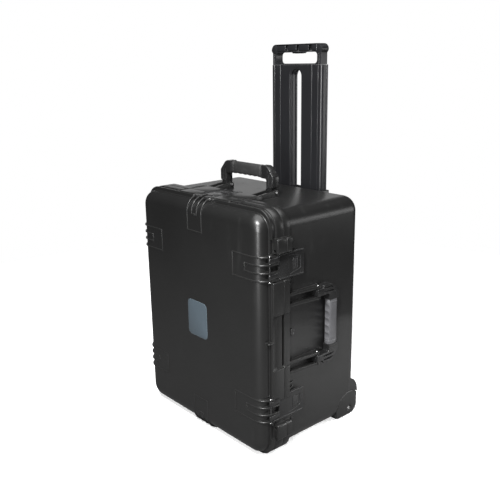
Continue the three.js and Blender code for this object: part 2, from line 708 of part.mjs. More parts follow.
function makeValve() {
  const profile = [
    [0, -WALL],
    [VALVE.stem, -WALL],
    [VALVE.stem, GAP],
    [VALVE.r, GAP],
    [VALVE.r, VALVE.high - 1.5],
    [VALVE.r - 1.5, VALVE.high],
    [0, VALVE.high],
  ];
  return turned(profile, 16, WIDTH / 2, VALVE.y, VALVE.z);
}

function makeLabel() {
  const shape = roundedRectangle(LABEL.high, LABEL.wide, LABEL.corner, [LABEL.z, 0]);
  return prism(shape, "y", FRONT - LABEL.proud, FRONT + LABEL.deep - GAP);
}

// ---------------------------------------------------------------- assembly
const root = new THREE.Group();
const inCaseFrame = new THREE.Group();
root.add(inCaseFrame);

function node(name, body, material) {
  const mesh = new THREE.Mesh(geometryOf(body), MATERIALS[material].clone());
  mesh.name = name;
  inCaseFrame.add(mesh);
}

node("base_shell", makeBase(), "shell");
node("lid_shell", makeLid(), "shell");
node("lid_gasket", sealRing(SEAL_OFFSET, SEAL_WIDTH, SEAM - 3.7, SEAM - GAP), "seal");
node("label_plate", makeLabel(), "label");
node("pressure_valve", makeValve(), "fitting");
for (const { name, along } of HINGED) {
  const half = 2.5 * KNUCKLE_STEP;
  const pin = rod("z", HINGE.pin, along - half, along + half, [HINGE.x, SEAM], SIDES.large);
  node("hinge_pin" + name.replace("left", ""), pin, "steel");
}
for (const pad of LATCHED) {
  const frame = wallFrame(pad.side, pad.along);
  node("latch_" + pad.name, makeLatch(pad), "fitting");
  node("latch_button_" + pad.name, makeButton(pad), "fitting");
  const pin = rod("x", PIN.r, -PIN.half, PIN.half, [PIN.y, PIN.u], SIDES.middle, frame);
  node("latch_pin_" + pad.name, pin, "steel");
}
node("top_handle_frame", makeHandle(topHandlePlace), "fitting");
node("top_handle_grip", makeGrip(topHandlePlace), "dark_grip");
node("side_handle_frame", makeHandle(sideHandlePlace), "fitting");
node("side_handle_grip", makeGrip(sideHandlePlace), "grip");
node("top_handle_pin_right", makePin(topHandleFrame, TOP_PIVOT, 1), "steel");
node("top_handle_pin_left", makePin(topHandleFrame, TOP_PIVOT, -1), "steel");
node("side_handle_pin_lower", makePin(sideHandleFrame, SIDE_PIVOT, 1), "steel");
node("side_handle_pin_upper", makePin(sideHandleFrame, SIDE_PIVOT, -1), "steel");
node("trolley_guide", makeGuide(), "fitting");
guideScrewPlaces().forEach((place, n) => node("guide_screw_" + (n + 1), makeScrew(place), "steel"));
node("trolley_panel", makePanel(), "trolley");
node("trolley_loop", makeLoop(), "trolley");
node("trolley_trigger", makeTrigger(), "fitting");
for (const [name, side] of [["right", 1], ["left", -1]]) {
  node("trolley_lock_bolt_" + name, makeBolt(side), "steel");
  node("wheel_housing_" + name, makeHousing(side), "shell");
  node("wheel_tyre_" + name, makeTyre(side), "tyre");
  node("wheel_hub_" + name, makeHub(side), "fitting");
  node("wheel_bearing_outer_" + name, makeBearing(side, side), "steel");
  node("wheel_bearing_inner_" + name, makeBearing(side, -side), "steel");
  node("wheel_axle_" + name, makeAxle(side), "steel");
}

// The part's origin is the middle of its footprint, on the floor.
const extent = new THREE.Box3().setFromObject(inCaseFrame);
const middle = extent.getCenter(new THREE.Vector3());
inCaseFrame.position.set(-middle.x, -middle.y, -extent.min.z);

export default root;
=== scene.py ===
"""A wheeled hard transport case, standing on end, with its lid to the front and its trolley handle out."""
import json
import math

import bmesh
import bpy
from mathutils import Matrix, Vector

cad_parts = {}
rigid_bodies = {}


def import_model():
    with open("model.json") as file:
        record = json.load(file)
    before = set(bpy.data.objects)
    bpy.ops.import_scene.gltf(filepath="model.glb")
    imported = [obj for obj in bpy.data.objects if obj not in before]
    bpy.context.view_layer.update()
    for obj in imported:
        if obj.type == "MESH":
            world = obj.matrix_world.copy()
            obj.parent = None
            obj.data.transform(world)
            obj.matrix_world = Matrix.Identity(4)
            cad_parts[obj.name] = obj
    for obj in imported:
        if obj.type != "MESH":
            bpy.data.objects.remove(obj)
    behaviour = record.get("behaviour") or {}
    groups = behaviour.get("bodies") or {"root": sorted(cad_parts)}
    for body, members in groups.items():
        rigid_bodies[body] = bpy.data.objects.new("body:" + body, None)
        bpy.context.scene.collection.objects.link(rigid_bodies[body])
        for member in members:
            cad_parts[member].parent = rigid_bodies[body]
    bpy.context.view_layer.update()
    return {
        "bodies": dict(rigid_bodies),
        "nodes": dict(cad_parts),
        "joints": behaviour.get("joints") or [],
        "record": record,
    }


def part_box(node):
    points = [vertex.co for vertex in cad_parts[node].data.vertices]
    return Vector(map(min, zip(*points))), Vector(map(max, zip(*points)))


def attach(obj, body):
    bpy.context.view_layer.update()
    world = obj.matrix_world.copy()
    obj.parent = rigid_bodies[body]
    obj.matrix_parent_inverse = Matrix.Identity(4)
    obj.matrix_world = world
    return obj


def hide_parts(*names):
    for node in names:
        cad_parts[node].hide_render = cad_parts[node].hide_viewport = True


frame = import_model()

# ---------------------------------------------------------------- sizes, in mm
# x runs to the right, y to the back and z up from the shell's bottom, with x = y = 0 at the shell's middle.
WIDTH, HEIGHT = 476, 605
FRONT, SEAM, BACK = -173.5, -105, 173.5
WALL, CORNER, EDGE = 6, 38, 28
GAP = 0.3
RIM, LID_RIM_FRONT, BASE_RIM_BACK = 9.5, -143, -83
RIB_PITCH, RIB_WIDTH, RIB_TOP, RIB_END, RIB_LOW = 19, 5, 12.2, -121, 1.5
SIDE_REACH, END_REACH, INNER_SHORTER = 94, 75, 45
POCKET_FLOOR = 1.4
PIN_Y, PIN_U, PIN_R, PIN_HALF = -147, 7.6, 2.5, 31.4
LATCH_FRONT, LATCH_BACK, LATCH_HALF, LATCH_UNDER, LATCH_OVER = -120.5, -40, 31, 4, 9.9
BUTTON_Y, BUTTON_LONG, BUTTON_WIDE = -66, 18, 30
HINGE_X, HINGE_R, HINGE_PIN, KNUCKLE = -253.5, 6, 3, 13
LEG_IN, LEG_OUT, BRACKET_RIB, REACH, THICK, HUB, HANDLE_PIN, GRIP_HALF = 78, 96, 7, 67, 21, 8, 3, 60
TOP_PIVOT, SIDE_PIVOT, SIDE_MIDDLE = (8, 11), (8, 11), 304
PANEL_HALF, PANEL_FRONT, PANEL_BACK, FOOT, CAP, TOP, SLOT = 94, 180, 206.5, 545, 925, 978, 19.5
LOOP_LOW, LOOP_HIGH, LOOP_HALF, POST = 928, 957, 76, 89
GUIDE_LOW, GUIDE_HIGH, GUIDE_WALL, FLANGE, PLATE = 120, 597, 3.4, 14, 4
WHEEL_Y, WHEEL_Z, WHEEL_R, WHEEL_HUB, WHEEL_X, WHEEL_HALF, AXLE = 153, 18, 30.2, 20, 209, 12, 4
CHEEK_IN, CHEEK_OUT, CHEEK_BACK, CHEEK_CORNER, CHEEK_ROUND = 184, 236.5, 184, 25, 50
CAVITY, WHEEL_SLOT = 33, 13.5
VALVE_Y, VALVE_Z = -70, 305
LABEL_Z, LABEL_HALF_HIGH, LABEL_HALF_WIDE, LABEL_ROUND = 299, 48, 39, 12
EYE_U, EYE_R, EYE_REACH = 11, 4.2, 21.5
BOLT_R, BOLT_Z = 4, 556

# The mould frame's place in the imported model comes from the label, which both hold.
label_low, label_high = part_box("label_plate")
MM = 0.001
TO_MODEL = Matrix.Translation((
    0,
    label_low.y - (FRONT - 0.4) * MM,
    (label_low.z + label_high.z) / 2 - LABEL_Z * MM,
)) @ Matrix.Scale(MM, 4)

# ---------------------------------------------------------------- making shapes
TURN = {
    "x": Matrix(((0, 0, 1, 0), (1, 0, 0, 0), (0, 1, 0, 0), (0, 0, 0, 1))),
    "y": Matrix(((0, 1, 0, 0), (0, 0, 1, 0), (1, 0, 0, 0), (0, 0, 0, 1))),
    "z": Matrix.Identity(4),
}
SHARP = math.radians(32)


def soften(bm, width, steps=2, angle=SHARP):
    """Rounds every edge that turns by more than an angle."""
    bmesh.ops.recalc_face_normals(bm, faces=bm.faces[:])
    edges = [e for e in bm.edges if len(e.link_faces) == 2 and e.calc_face_angle(0) > angle]
    if width and edges:
        bmesh.ops.bevel(
            bm, geom=edges, offset=width, offset_type="OFFSET", segments=steps, profile=0.5,
            affect="EDGES", material=-1, clamp_overlap=True,
        )
    return bm


def slab(points, low, high, axis="x", rounds=None, edge=0.0, steps=2, frame=None):
    """An outline with some rounded corners, pushed along an axis. It is drawn in (y, z) for x, (z, x) for y
    and (x, y) for z."""
    bm = bmesh.new()
    corners = [bm.verts.new((a, b, low)) for a, b in points]
    bm.faces.new(corners)
    for n, radius in (rounds or {}).items():
        bmesh.ops.bevel(
            bm, geom=[corners[n]], offset=radius, offset_type="OFFSET",
            segments=max(3, min(12, round(radius / 2))), profile=0.5, affect="VERTICES", material=-1,
        )
    grown = bmesh.ops.extrude_face_region(bm, geom=bm.faces[:])["geom"]
    ends = [v for v in grown if isinstance(v, bmesh.types.BMVert)]
    bmesh.ops.translate(bm, verts=ends, vec=(0, 0, high - low))
    soften(bm, edge, steps)
    bm.transform(TURN[axis])
    if frame:
        bm.transform(frame)
    return bm


def block(x0, x1, y0, y1, z0, z1, edge=0.0, steps=2, frame=None):
    """A brick between two corners, with rounded edges."""
    bm = bmesh.new()
    bmesh.ops.create_cube(bm, size=1)
    size = Matrix.Diagonal((x1 - x0, y1 - y0, z1 - z0, 1))
    bm.transform(Matrix.Translation(((x0 + x1) / 2, (y0 + y1) / 2, (z0 + z1) / 2)) @ size)
    soften(bm, edge, steps)
    if frame:
        bm.transform(frame)
    return bm


def rod(axis, r, low, high, middle, edge=0.0, segments=32, frame=None):
    """A round bar along an axis; middle is its place in the two axes the outline is drawn in."""
    bm = bmesh.new()
    bmesh.ops.create_cone(
        bm, cap_ends=True, segments=segments, radius1=r, radius2=r, depth=high - low,
        matrix=Matrix.Translation((middle[0], middle[1], (low + high) / 2)),
    )
    soften(bm, edge, 2)
    bm.transform(TURN[axis])
    if frame:
        bm.transform(frame)
    return bm


def turned(profile, x, y, z, steps=64):
    """A profile of (radius, place) points, spun about an axis along x."""
    bm = bmesh.new()
    points = [bm.verts.new((along, 0, radius)) for radius, along in profile]
    edges = [bm.edges.new(pair) for pair in zip(points, points[1:])]
    if profile[0][0] and profile[-1][0]:
        edges.append(bm.edges.new((points[-1], points[0])))
    bmesh.ops.spin(
        bm, geom=points + edges, cent=(0, 0, 0), axis=(1, 0, 0), dvec=(0, 0, 0), angle=2 * math.pi,
        steps=steps, use_merge=True, use_duplicate=False,
    )
    bmesh.ops.remove_doubles(bm, verts=bm.verts[:], dist=1e-4)
    bmesh.ops.recalc_face_normals(bm, faces=bm.faces[:])
    bm.transform(Matrix.Translation((x, y, z)))
    return bm


def mirrored(bm):
    """A copy of a shape on the other side of the middle plane."""
    other = bm.copy()
    other.transform(Matrix.Diagonal((-1, 1, 1, 1)))
    bmesh.ops.recalc_face_normals(other, faces=other.faces[:])
    return other


def gathered(shapes):
    """Several shapes in one."""
    whole = bmesh.new()
    for shape in shapes:
        mesh = bpy.data.meshes.new("gathered")
        shape.to_mesh(mesh)
        whole.from_mesh(mesh)
        bpy.data.meshes.remove(mesh)
        shape.free()
    return whole


def worked(bm, tools, operation):
    """A solid with others taken out of it, joined to it, or kept only where they are."""
    things = []
    for shape in (bm, gathered(tools)):
        bmesh.ops.recalc_face_normals(shape, faces=shape.faces[:])
        mesh = bpy.data.meshes.new("worked")
        shape.to_mesh(mesh)
        shape.free()
        things.append(bpy.data.objects.new("worked", mesh))
        bpy.context.scene.collection.objects.link(things[-1])
    target, tool = things
    modifier = target.modifiers.new("work", "BOOLEAN")
    modifier.operation = operation
    modifier.solver = "EXACT"
    modifier.use_self = True
    modifier.object = tool
    bpy.context.view_layer.update()
    result = target.evaluated_get(bpy.context.evaluated_depsgraph_get())
    made = bmesh.new()
    made.from_mesh(result.to_mesh())
    for thing in things:
        mesh = thing.data
        bpy.data.objects.remove(thing)
        bpy.data.meshes.remove(mesh)
    bmesh.ops.remove_doubles(made, verts=made.verts[:], dist=1e-3)
    bmesh.ops.dissolve_degenerate(made, edges=made.edges[:], dist=1e-3)
    return made


def carve(bm, tools):
    return worked(bm, tools, "DIFFERENCE")


def fuse(bm, tools):
    return worked(bm, tools, "UNION")


def within(bm, tool):
    return worked(bm, [tool], "INTERSECT")


def piece(name, body, finish, shapes, replaces=(), bevel=0.0):
    """Gathers shapes into one finished piece that rides on a body."""
    bm = gathered(shapes)
    bm.transform(TO_MODEL)
    mesh = bpy.data.meshes.new(name)
    bm.to_mesh(mesh)
    bm.free()
    mesh.shade_smooth()
    mesh.set_sharp_from_angle(angle=SHARP)
    mesh.materials.append(finish)
    made = bpy.data.objects.new(name, mesh)
    bpy.context.scene.collection.objects.link(made)
    if bevel:
        modifier = made.modifiers.new("edges", "BEVEL")
        modifier.width = bevel * MM
        modifier.segments = 2
        modifier.limit_method = "ANGLE"
        modifier.angle_limit = SHARP
        modifier.harden_normals = False
    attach(made, body)
    if replaces:
        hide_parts(*replaces)
    return made


def wall(side, along):
    """The frame of a side wall: x runs along it, y is the case's depth and z stands out of it."""
    place, turn = {
        "top": ((along, 0, HEIGHT), 0),
        "right": ((WIDTH / 2, 0, along), 90),
        "bottom": ((along, 0, 0), 180),
        "left": ((-WIDTH / 2, 0, along), -90),
    }[side]
    return Matrix.Translation(place) @ Matrix.Rotation(math.radians(turn), 4, "Y")


def arc(middle, r, start, end, steps):
    """Points on an arc, in degrees."""
    turns = [math.radians(start + (end - start) * n / steps) for n in range(steps + 1)]
    return [(middle[0] + r * math.cos(t), middle[1] + r * math.sin(t)) for t in turns]


# ---------------------------------------------------------------- finishes
class Term:
    """A shader value; a sum on it adds its own nodes."""

    def __init__(self, finish, socket):
        self.finish = finish
        self.socket = socket

    def worked(self, operation, first, second):
        return self.finish.node("ShaderNodeMath", {"operation": operation}, {0: first, 1: second})

    def __add__(self, other):
        return self.worked("ADD", self, other)

    def __sub__(self, other):
        return self.worked("SUBTRACT", self, other)

    def __rsub__(self, other):
        return self.worked("SUBTRACT", other, self)

    def __mul__(self, other):
        return self.worked("MULTIPLY", self, other)

    def __pow__(self, other):
        return self.worked("POWER", self, other)

    __radd__ = __add__
    __rmul__ = __mul__


class Finish:
    """A material, built up from patterns in the model's own space."""

    def __init__(self, name, **constants):
        self.material = bpy.data.materials.new(name)
        self.material.use_nodes = True
        self.tree = self.material.node_tree
        self.shader = self.tree.nodes["Principled BSDF"]
        for socket, value in constants.items():
            self.shader.inputs[socket.replace("_", " ")].default_value = value
        self.place = self.node("ShaderNodeTexCoord", output="Object")

    def node(self, kind, settings=None, inputs=None, output=0):
        made = self.tree.nodes.new(kind)
        for key, value in (settings or {}).items():
            if key == "stops":
                for element, (place, shade) in zip(made.color_ramp.elements, value):
                    element.position = place
                    element.color = (shade, shade, shade, 1)
            else:
                setattr(made, key, value)
        for key, value in (inputs or {}).items():
            if isinstance(value, Term):
                self.tree.links.new(value.socket, made.inputs[key])
            else:
                made.inputs[key].default_value = value
        return Term(self, made.outputs[output])

    def noise(self, scale, detail=2.0, stretch=(1, 1, 1)):
        place = self.node("ShaderNodeMapping", None, {"Vector": self.place, "Scale": stretch})
        return self.node("ShaderNodeTexNoise", None, {"Vector": place, "Scale": scale, "Detail": detail})

    def grains(self, scale):
        return self.node("ShaderNodeTexVoronoi", None, {"Vector": self.place, "Scale": scale})

    def band(self, term, low, high):
        """0 under low, 1 over high, smooth between."""
        return self.node("ShaderNodeMapRange", {"interpolation_type": "SMOOTHSTEP"},
                         {0: term, 1: low, 2: high, 3: 0.0, 4: 1.0})

    def mix(self, share, first, second):
        return self.node("ShaderNodeMix", {"data_type": "RGBA"}, {0: share, 6: first, 7: second}, 2)

    def edge_wear_and_sheen(self, radius):
        """How far the surface turns within a radius: near 1 on an edge. It sets the paler edges, which are
        partly wear and partly a painted highlight.
        """
        rounded = self.node("ShaderNodeBevel", {"samples": 4}, {"Radius": radius})
        flat = self.node("ShaderNodeNewGeometry", output="Normal")
        same = self.node("ShaderNodeVectorMath", {"operation": "DOT_PRODUCT"},
                         {0: rounded, 1: flat}, "Value")
        return self.band(1 - same, 0.02, 0.22)

    def feed(self, socket, term):
        self.tree.links.new(term.socket, self.shader.inputs[socket])
        return self

    def relief(self, height, strength, distance):
        bump = self.node("ShaderNodeBump", None,
                         {"Strength": strength, "Distance": distance, "Height": height})
        return self.feed("Normal", bump)


def shade(value, tint=(1.0, 1.0, 1.0)):
    return (value * tint[0], value * tint[1], value * tint[2], 1)


def moulded(name, dark, light, roughness, grain, relief, tint=(1, 1, 1), wear_and_sheen=0.75, **constants):
    """Moulded plastic: a fine pebble grain, a slow change of sheen, faint scuffs, and paler edges that are
    partly wear and partly a painted highlight.
    """
    finish = Finish(name, **constants)
    slow = finish.noise(7.0, 3.0)
    pebble = finish.grains(grain)
    speck = finish.noise(grain * 0.6, 3.0)
    scuff = finish.band(finish.noise(38.0, 6.0, (1.0, 1.0, 0.22)), 0.60, 0.78)
    worn_and_sheen = finish.edge_wear_and_sheen(0.0016)
    body = finish.mix(slow * 0.7 + speck * 0.3, shade(dark, tint), shade(light, tint))
    scuffed = finish.mix(scuff * 0.16, body, shade(light * 2.6, tint))
    # Paler colour along the edges: partly edge wear, partly a painted highlight.
    finish.feed("Base Color", finish.mix(worn_and_sheen * wear_and_sheen, scuffed, shade(light * 4.5, tint)))
    finish.feed("Roughness", slow * 0.10 + speck * 0.05 + scuff * 0.08 + (roughness - 0.07) - worn_and_sheen * 0.04)
    finish.relief(pebble * 0.75 + speck * 0.5, relief, 0.00035)
    return finish.material


def rubber(name, dark, light, roughness, stripes=0.0, tint=(1, 1, 1)):
    """Soft grip rubber: a matt skin with fine pimples, dust, and paler edges that are partly wear and
    partly a painted highlight.
    """
    finish = Finish(name)
    slow = finish.noise(24.0, 4.0)
    pimple = finish.grains(620.0)
    dust = finish.band(finish.noise(60.0, 5.0), 0.5, 0.75)
    worn_and_sheen = finish.edge_wear_and_sheen(0.0015)
    body = finish.mix(slow, shade(dark, tint), shade(light, tint))
    # Dust and edges turn paler: the dust is real, and the edge paling is partly wear and partly a painted
    # highlight.
    finish.feed("Base Color", finish.mix(worn_and_sheen * 0.4 + dust * 0.2, body, shade(light * 1.8, tint)))
    finish.feed("Roughness", slow * 0.12 + dust * 0.1 + (roughness - 0.1))
    finish.relief(pimple + slow * 0.3, 0.35, 0.0004)
    return finish.material


def steel(name, dark, light):
    """Turned steel: fine rings of brushing and a few dull patches."""
    finish = Finish(name, Metallic=1.0)
    brushed = finish.noise(900.0, 2.0, (0.15, 1.0, 1.0))
    patch = finish.noise(120.0, 3.0)
    finish.feed("Base Color", finish.mix(patch, shade(dark), shade(light)))
    finish.feed("Roughness", brushed * 0.16 + patch * 0.08 + 0.12)
    finish.relief(brushed, 0.15, 0.0001)
    return finish.material


SHELL = moulded("charcoal_shell_plastic", 0.0060, 0.0100, 0.34, 950.0, 0.10, (1.0, 1.0, 0.99))
FITTING = moulded("black_fitting_plastic", 0.0075, 0.0120, 0.27, 1300.0, 0.08, (1.0, 1.0, 1.02), 0.9)
GRAPHITE = moulded("graphite_trolley_plastic", 0.008, 0.013, 0.32, 1500.0, 0.08, (0.96, 0.98, 1.09), 0.3)
LABEL = moulded("slate_label_plastic", 0.052, 0.070, 0.46, 1500.0, 0.10, (0.76, 1.0, 1.20))
GREY_RUBBER = rubber("grey_grip_rubber", 0.055, 0.095, 0.40, tint=(1.0, 1.0, 1.06))
DARK_RUBBER = rubber("dark_grip_rubber", 0.014, 0.026, 0.50)
SEAL = rubber("seal_rubber", 0.006, 0.010, 0.75)
TYRE = rubber("tyre_rubber", 0.008, 0.014, 0.68)
STEEL = steel("turned_steel", 0.62, 0.82)
DARK_STEEL = steel("blackened_steel", 0.10, 0.16)

# ---------------------------------------------------------------- shells


def shell(profile, steps=10):
    """A closed skin: a rounded rectangle of the case's own proportions, carried through a list of
    (margin, depth) from its first flat face to its last."""
    bm = bmesh.new()
    margin, depth = profile[0]
    half_x, half_z, r = WIDTH / 2 + margin, HEIGHT / 2 + margin, CORNER + margin
    signs = ((1, 1), (1, -1), (-1, -1), (-1, 1))
    corners = [bm.verts.new((x * half_x, depth, z * half_z)) for x, z in signs]
    bm.faces.new(corners)
    for corner in corners:
        bmesh.ops.bevel(
            bm, geom=[corner], offset=r, offset_type="OFFSET", segments=steps, profile=0.5,
            affect="VERTICES", material=-1,
        )
    middle = Vector((WIDTH / 2 - CORNER, 0, HEIGHT / 2 - CORNER))
    front = bm.faces[:]
    loop = front[0].edges[:]
    for margin, depth in profile[1:]:
        grown = bmesh.ops.extrude_edge_only(bm, edges=loop)["geom"]
        loop = [e for e in grown if isinstance(e, bmesh.types.BMEdge)]
        for v in {v for e in loop for v in e.verts}:
            centre = Vector((math.copysign(middle.x, v.co.x), v.co.y, math.copysign(middle.z, v.co.z)))
            out = (v.co - centre).normalized() * (CORNER + margin)
            v.co = centre + out
            v.co.y = depth
    bmesh.ops.contextual_create(bm, geom=loop)
    bmesh.ops.translate(bm, verts=bm.verts[:], vec=(0, 0, HEIGHT / 2))
    bmesh.ops.recalc_face_normals(bm, faces=bm.faces[:])
    return bm


def rounded_edge(margin, depth, r, way, steps=9):
    """A quarter round from a flat face at a depth out to a wall at a margin."""
    turns = [math.radians(90 * n / steps) for n in range(steps + 1)]
    return [(margin - r + r * math.sin(t), depth - way * r * (1 - math.cos(t)) * -1) for t in turns]


def lid_profile():
    outside = [(-EDGE - 6, FRONT)] + rounded_edge(0, FRONT, EDGE, 1)
    rim = [
        (0, -144.2), (0.6, -143.3), (1.6, LID_RIM_FRONT), (7.6, LID_RIM_FRONT), (8.9, -142.4), (RIM, -141),
        (RIM, -138.6), (8.9, -137.6), (6.8, -136.8), (6.2, -135.6), (6.2, -129.2), (6.8, -128),
        (8.9, -127.2), (RIM, -126.2), (RIM, -106.9), (9.1, -105.8), (8.2, SEAM - GAP),
    ]
    seal = [(-1.2, SEAM - GAP), (-1.2, -109), (-4.8, -109), (-4.8, SEAM - GAP), (-WALL, SEAM - GAP)]
    inside = [(m, d) for m, d in reversed(rounded_edge(-WALL, FRONT + WALL, EDGE - WALL, 1))]
    return outside + rim + seal + inside + [(-EDGE - 6, FRONT + WALL)]


def base_profile():
    outside = [(-EDGE - 6, BACK)] + rounded_edge(0, BACK, EDGE, -1)
    rim = [
        (0, -80.5), (0.5, -82), (1.8, BASE_RIM_BACK), (7.4, BASE_RIM_BACK), (8.9, -83.6), (RIM, -85),
        (RIM, -103.1), (9.1, -104.2), (8.2, SEAM + GAP),
    ]
    inside = [(m, d) for m, d in reversed(rounded_edge(-WALL, BACK - WALL, EDGE - WALL, -1))]
    return outside + rim + [(-WALL, SEAM + GAP)] + inside + [(-EDGE - 6, BACK - WALL)]


PADS = {
    "top": ("top", 0, END_REACH),
    "bottom": ("bottom", 0, END_REACH),
    "right_upper": ("right", 481, SIDE_REACH),
    "right_lower": ("right", 124, SIDE_REACH),
    "left_upper": ("left", 481, SIDE_REACH),
    "left_lower": ("left", 124, SIDE_REACH),
}
LATCHED = [name for name in PADS if not name.startswith("left")]
HINGED = [name for name in PADS if name.startswith("left")]


def rib(place, reach):
    """One bumper rib: low and thin on the lid's face, full round the edge and over the rim."""
    middle = (FRONT + EDGE, -EDGE)
    crest = []
    for n in range(13):
        t = n / 12
        r = EDGE + RIB_LOW + (RIB_TOP - RIB_LOW - 1.5) * (1.5 * t * t - 0.5 * t**3)
        turn = t * math.pi / 2
        crest.append((middle[0] - r * math.cos(turn), middle[1] + r * math.sin(turn)))
    outline = [(FRONT - RIB_LOW, -reach)] + crest
    outline += [(LID_RIM_FRONT + 6, RIB_TOP), (RIB_END, RIB_TOP), (RIB_END, 1)]
    outline += arc(middle, EDGE - 3, 90, 180, 8) + [(FRONT + 3, -reach)]
    bm = slab(outline, -RIB_WIDTH / 2, RIB_WIDTH / 2, "x", edge=1.7, steps=4)
    for v in bm.verts:
        on_face = min(1.0, max(0.0, -v.co.z / EDGE))
        v.co.x *= 1 - 0.42 * on_face
    bm.transform(Matrix.Translation((place, 0, 0)))
    return bm


def pad(name):
    side, along, reach = PADS[name]
    shapes = [rib(place * RIB_PITCH, reach if abs(place) > 1 else reach - INNER_SHORTER)
              for place in (-1.5, -0.5, 0.5, 1.5)]
    out, into = 1.5 * RIB_PITCH + 1.4, 0.5 * RIB_PITCH + 1.4
    face, back, short = FRONT - RIB_LOW, FRONT + 2, reach - INNER_SHORTER
    shapes.append(block(-out, out, face, back, -reach, -reach + 2.8, 1.0, 3))
    shapes.append(block(-into, into, face, back, -short - 2.8, -short, 1.0, 3))
    boss = rod("y", 3.4, face, back, (-short - 1.4, 0), 0.9, 20)
    shapes.append(boss)
    whole = gathered(shapes)
    whole.transform(wall(side, along))
    return whole


def latch_pocket(name, y0, y1):
    side, along, _ = PADS[name]
    half = LATCH_HALF + 1
    return block(-half, half, y0, y1, POCKET_FLOOR, RIB_TOP + 5, 0.8, 2, wall(side, along))


def eye_hole(eye, y0, y1):
    return rod("y", EYE_R, y0 - 2, y1 + 2, (eye[0], WIDTH / 2 + EYE_U))


def padlock_eye(eye, y0, y1):
    """A lug with a hole, beside the rim."""
    low, high = eye[1:]
    x0, x1 = WIDTH / 2 - 4, WIDTH / 2 + EYE_REACH
    outline = [(low, x0), (high, x0), (high, x1), (low, x1)]
    lug = slab(outline, y0, y1, "y", {2: 5, 3: 5}, 1.3, 3)
    return carve(lug, [eye_hole(eye, y0, y1)])


STEP = KNUCKLE + 2 * GAP


def knuckles(offsets, way):
    """Hinge knuckles about the seam, each with a leaf that reaches into its own rim."""
    shapes = []
    for name in HINGED:
        along = PADS[name][1]
        for offset in offsets:
            low = along + offset * STEP - KNUCKLE / 2
            leaf = [
                (HINGE_X - HINGE_R + 1, SEAM + way * 2), (-WIDTH / 2 - 2, SEAM + way * 2),
                (-WIDTH / 2 - 2, SEAM + way * 24), (-WIDTH / 2 - RIM - 1, SEAM + way * 24),
            ]
            shapes.append(rod("z", HINGE_R, low, low + KNUCKLE, (HINGE_X, SEAM), 0.7, 32))
            shapes.append(slab(leaf, low, low + KNUCKLE, "z", edge=0.7))
    return shapes


def knuckle_room(offsets, way):
    shapes = []
    y0, y1 = sorted((SEAM - way, SEAM + way * (HINGE_R + 1.5)))
    for name in HINGED:
        for offset in offsets:
            middle, half = PADS[name][1] + offset * STEP, KNUCKLE / 2 + GAP
            shapes.append(block(HINGE_X - 12, HINGE_X + HINGE_R + 1.5, y0, y1,
                                middle - half, middle + half))
    return shapes


LID_KNUCKLES, BASE_KNUCKLES = (-1, 1), (-2, 0, 2)
EYES = ((521.5, 514.5, 550), (74, 44, 84))
EYE_FRONT = -134
RIM_BLOCKS = ((365, 444), (146, 226))


def rim_slot(y0, y1):
    """The long recess along the seam between the right side's two rim blocks."""
    return block(WIDTH / 2 + 2.5, WIDTH / 2 + 16, y0, y1, 230, 361, 1.6, 3)


def rim_block(low, high, y0, y1):
    """A thicker length of rim with sloping ends."""
    x = WIDTH / 2
    outline = [(low - 5, x + 6), (low, x + 12.2), (high, x + 12.2), (high + 5, x + 6)]
    return slab(outline, y0, y1, "y", edge=1.0, steps=3)


def wedge(side, along, y0, y1, tall, thick=3.2):
    """A thin gusset between a rim and the wall behind it."""
    return slab([(y0, -1), (y0, tall), (y1, -1)], -thick / 2, thick / 2, "x", edge=0.8,
                frame=wall(side, along))


def label_plate(grow, y0, y1, edge=0.0):
    """The label's rounded plate, or the recess for it."""
    high, wide = LABEL_HALF_HIGH + grow, LABEL_HALF_WIDE + grow
    outline = [(LABEL_Z + z * high, x * wide) for z, x in ((-1, -1), (1, -1), (1, 1), (-1, 1))]
    return slab(outline, y0, y1, "y", dict.fromkeys(range(4), LABEL_ROUND), edge, 2)


def make_lid():
    body = shell(lid_profile())
    tools = [latch_pocket(name, LID_RIM_FRONT - 4, SEAM + 3) for name in LATCHED]
    tools += knuckle_room(BASE_KNUCKLES, -1)
    tools.append(label_plate(GAP, FRONT - 2, FRONT + 1))
    tools.append(rim_slot(-111.5, SEAM + 2))
    tools += [eye_hole(eye, -150, SEAM) for eye in EYES]
    for _, low, high in EYES:
        tools.append(block(WIDTH / 2 + 4, WIDTH / 2 + 30, -150, EYE_FRONT + 1, low, high, 0.8))
    body = carve(body, tools)
    shapes = [body] + [pad(name) for name in PADS]
    shapes += [padlock_eye(eye, EYE_FRONT, SEAM - GAP) for eye in EYES]
    shapes += [rim_block(low, high, -139.5, SEAM - GAP) for low, high in RIM_BLOCKS]
    shapes += knuckles(LID_KNUCKLES, -1)
    shapes += [plateau(side, LID_RIM_FRONT + 1, SEAM - GAP) for side in ("top", "bottom")]
    shapes.append(block(WIDTH / 2 - 4, WIDTH / 2 + 10.6, -154, -138, 295, 301, 2.4, 4))
    return shapes


def handle_bracket(pivot, side, along):
    """The ribs that hold a handle's pins, from the rim to the pivot, on both sides of each leg."""
    y, u = pivot
    outline = [(BASE_RIM_BACK - 2, -2), (BASE_RIM_BACK - 2, RIM), (BASE_RIM_BACK + 30, RIM + 1)]
    outline += [(y - 6, u + HUB - 2)] + arc(pivot, HUB, 135, 0, 10) + [(y + HUB, -2)]
    shapes = []
    for a in (LEG_IN - BRACKET_RIB - 1, LEG_OUT + 1):
        for low in (a, -a - BRACKET_RIB):
            shapes.append(slab(outline, low, low + BRACKET_RIB, "x", edge=1.3, steps=3))
            shapes.append(rod("x", HUB - 1.5, low - 0.1, low + BRACKET_RIB + 0.1, pivot, 0.1))
    whole = gathered(shapes)
    whole.transform(wall(side, along))
    return whole


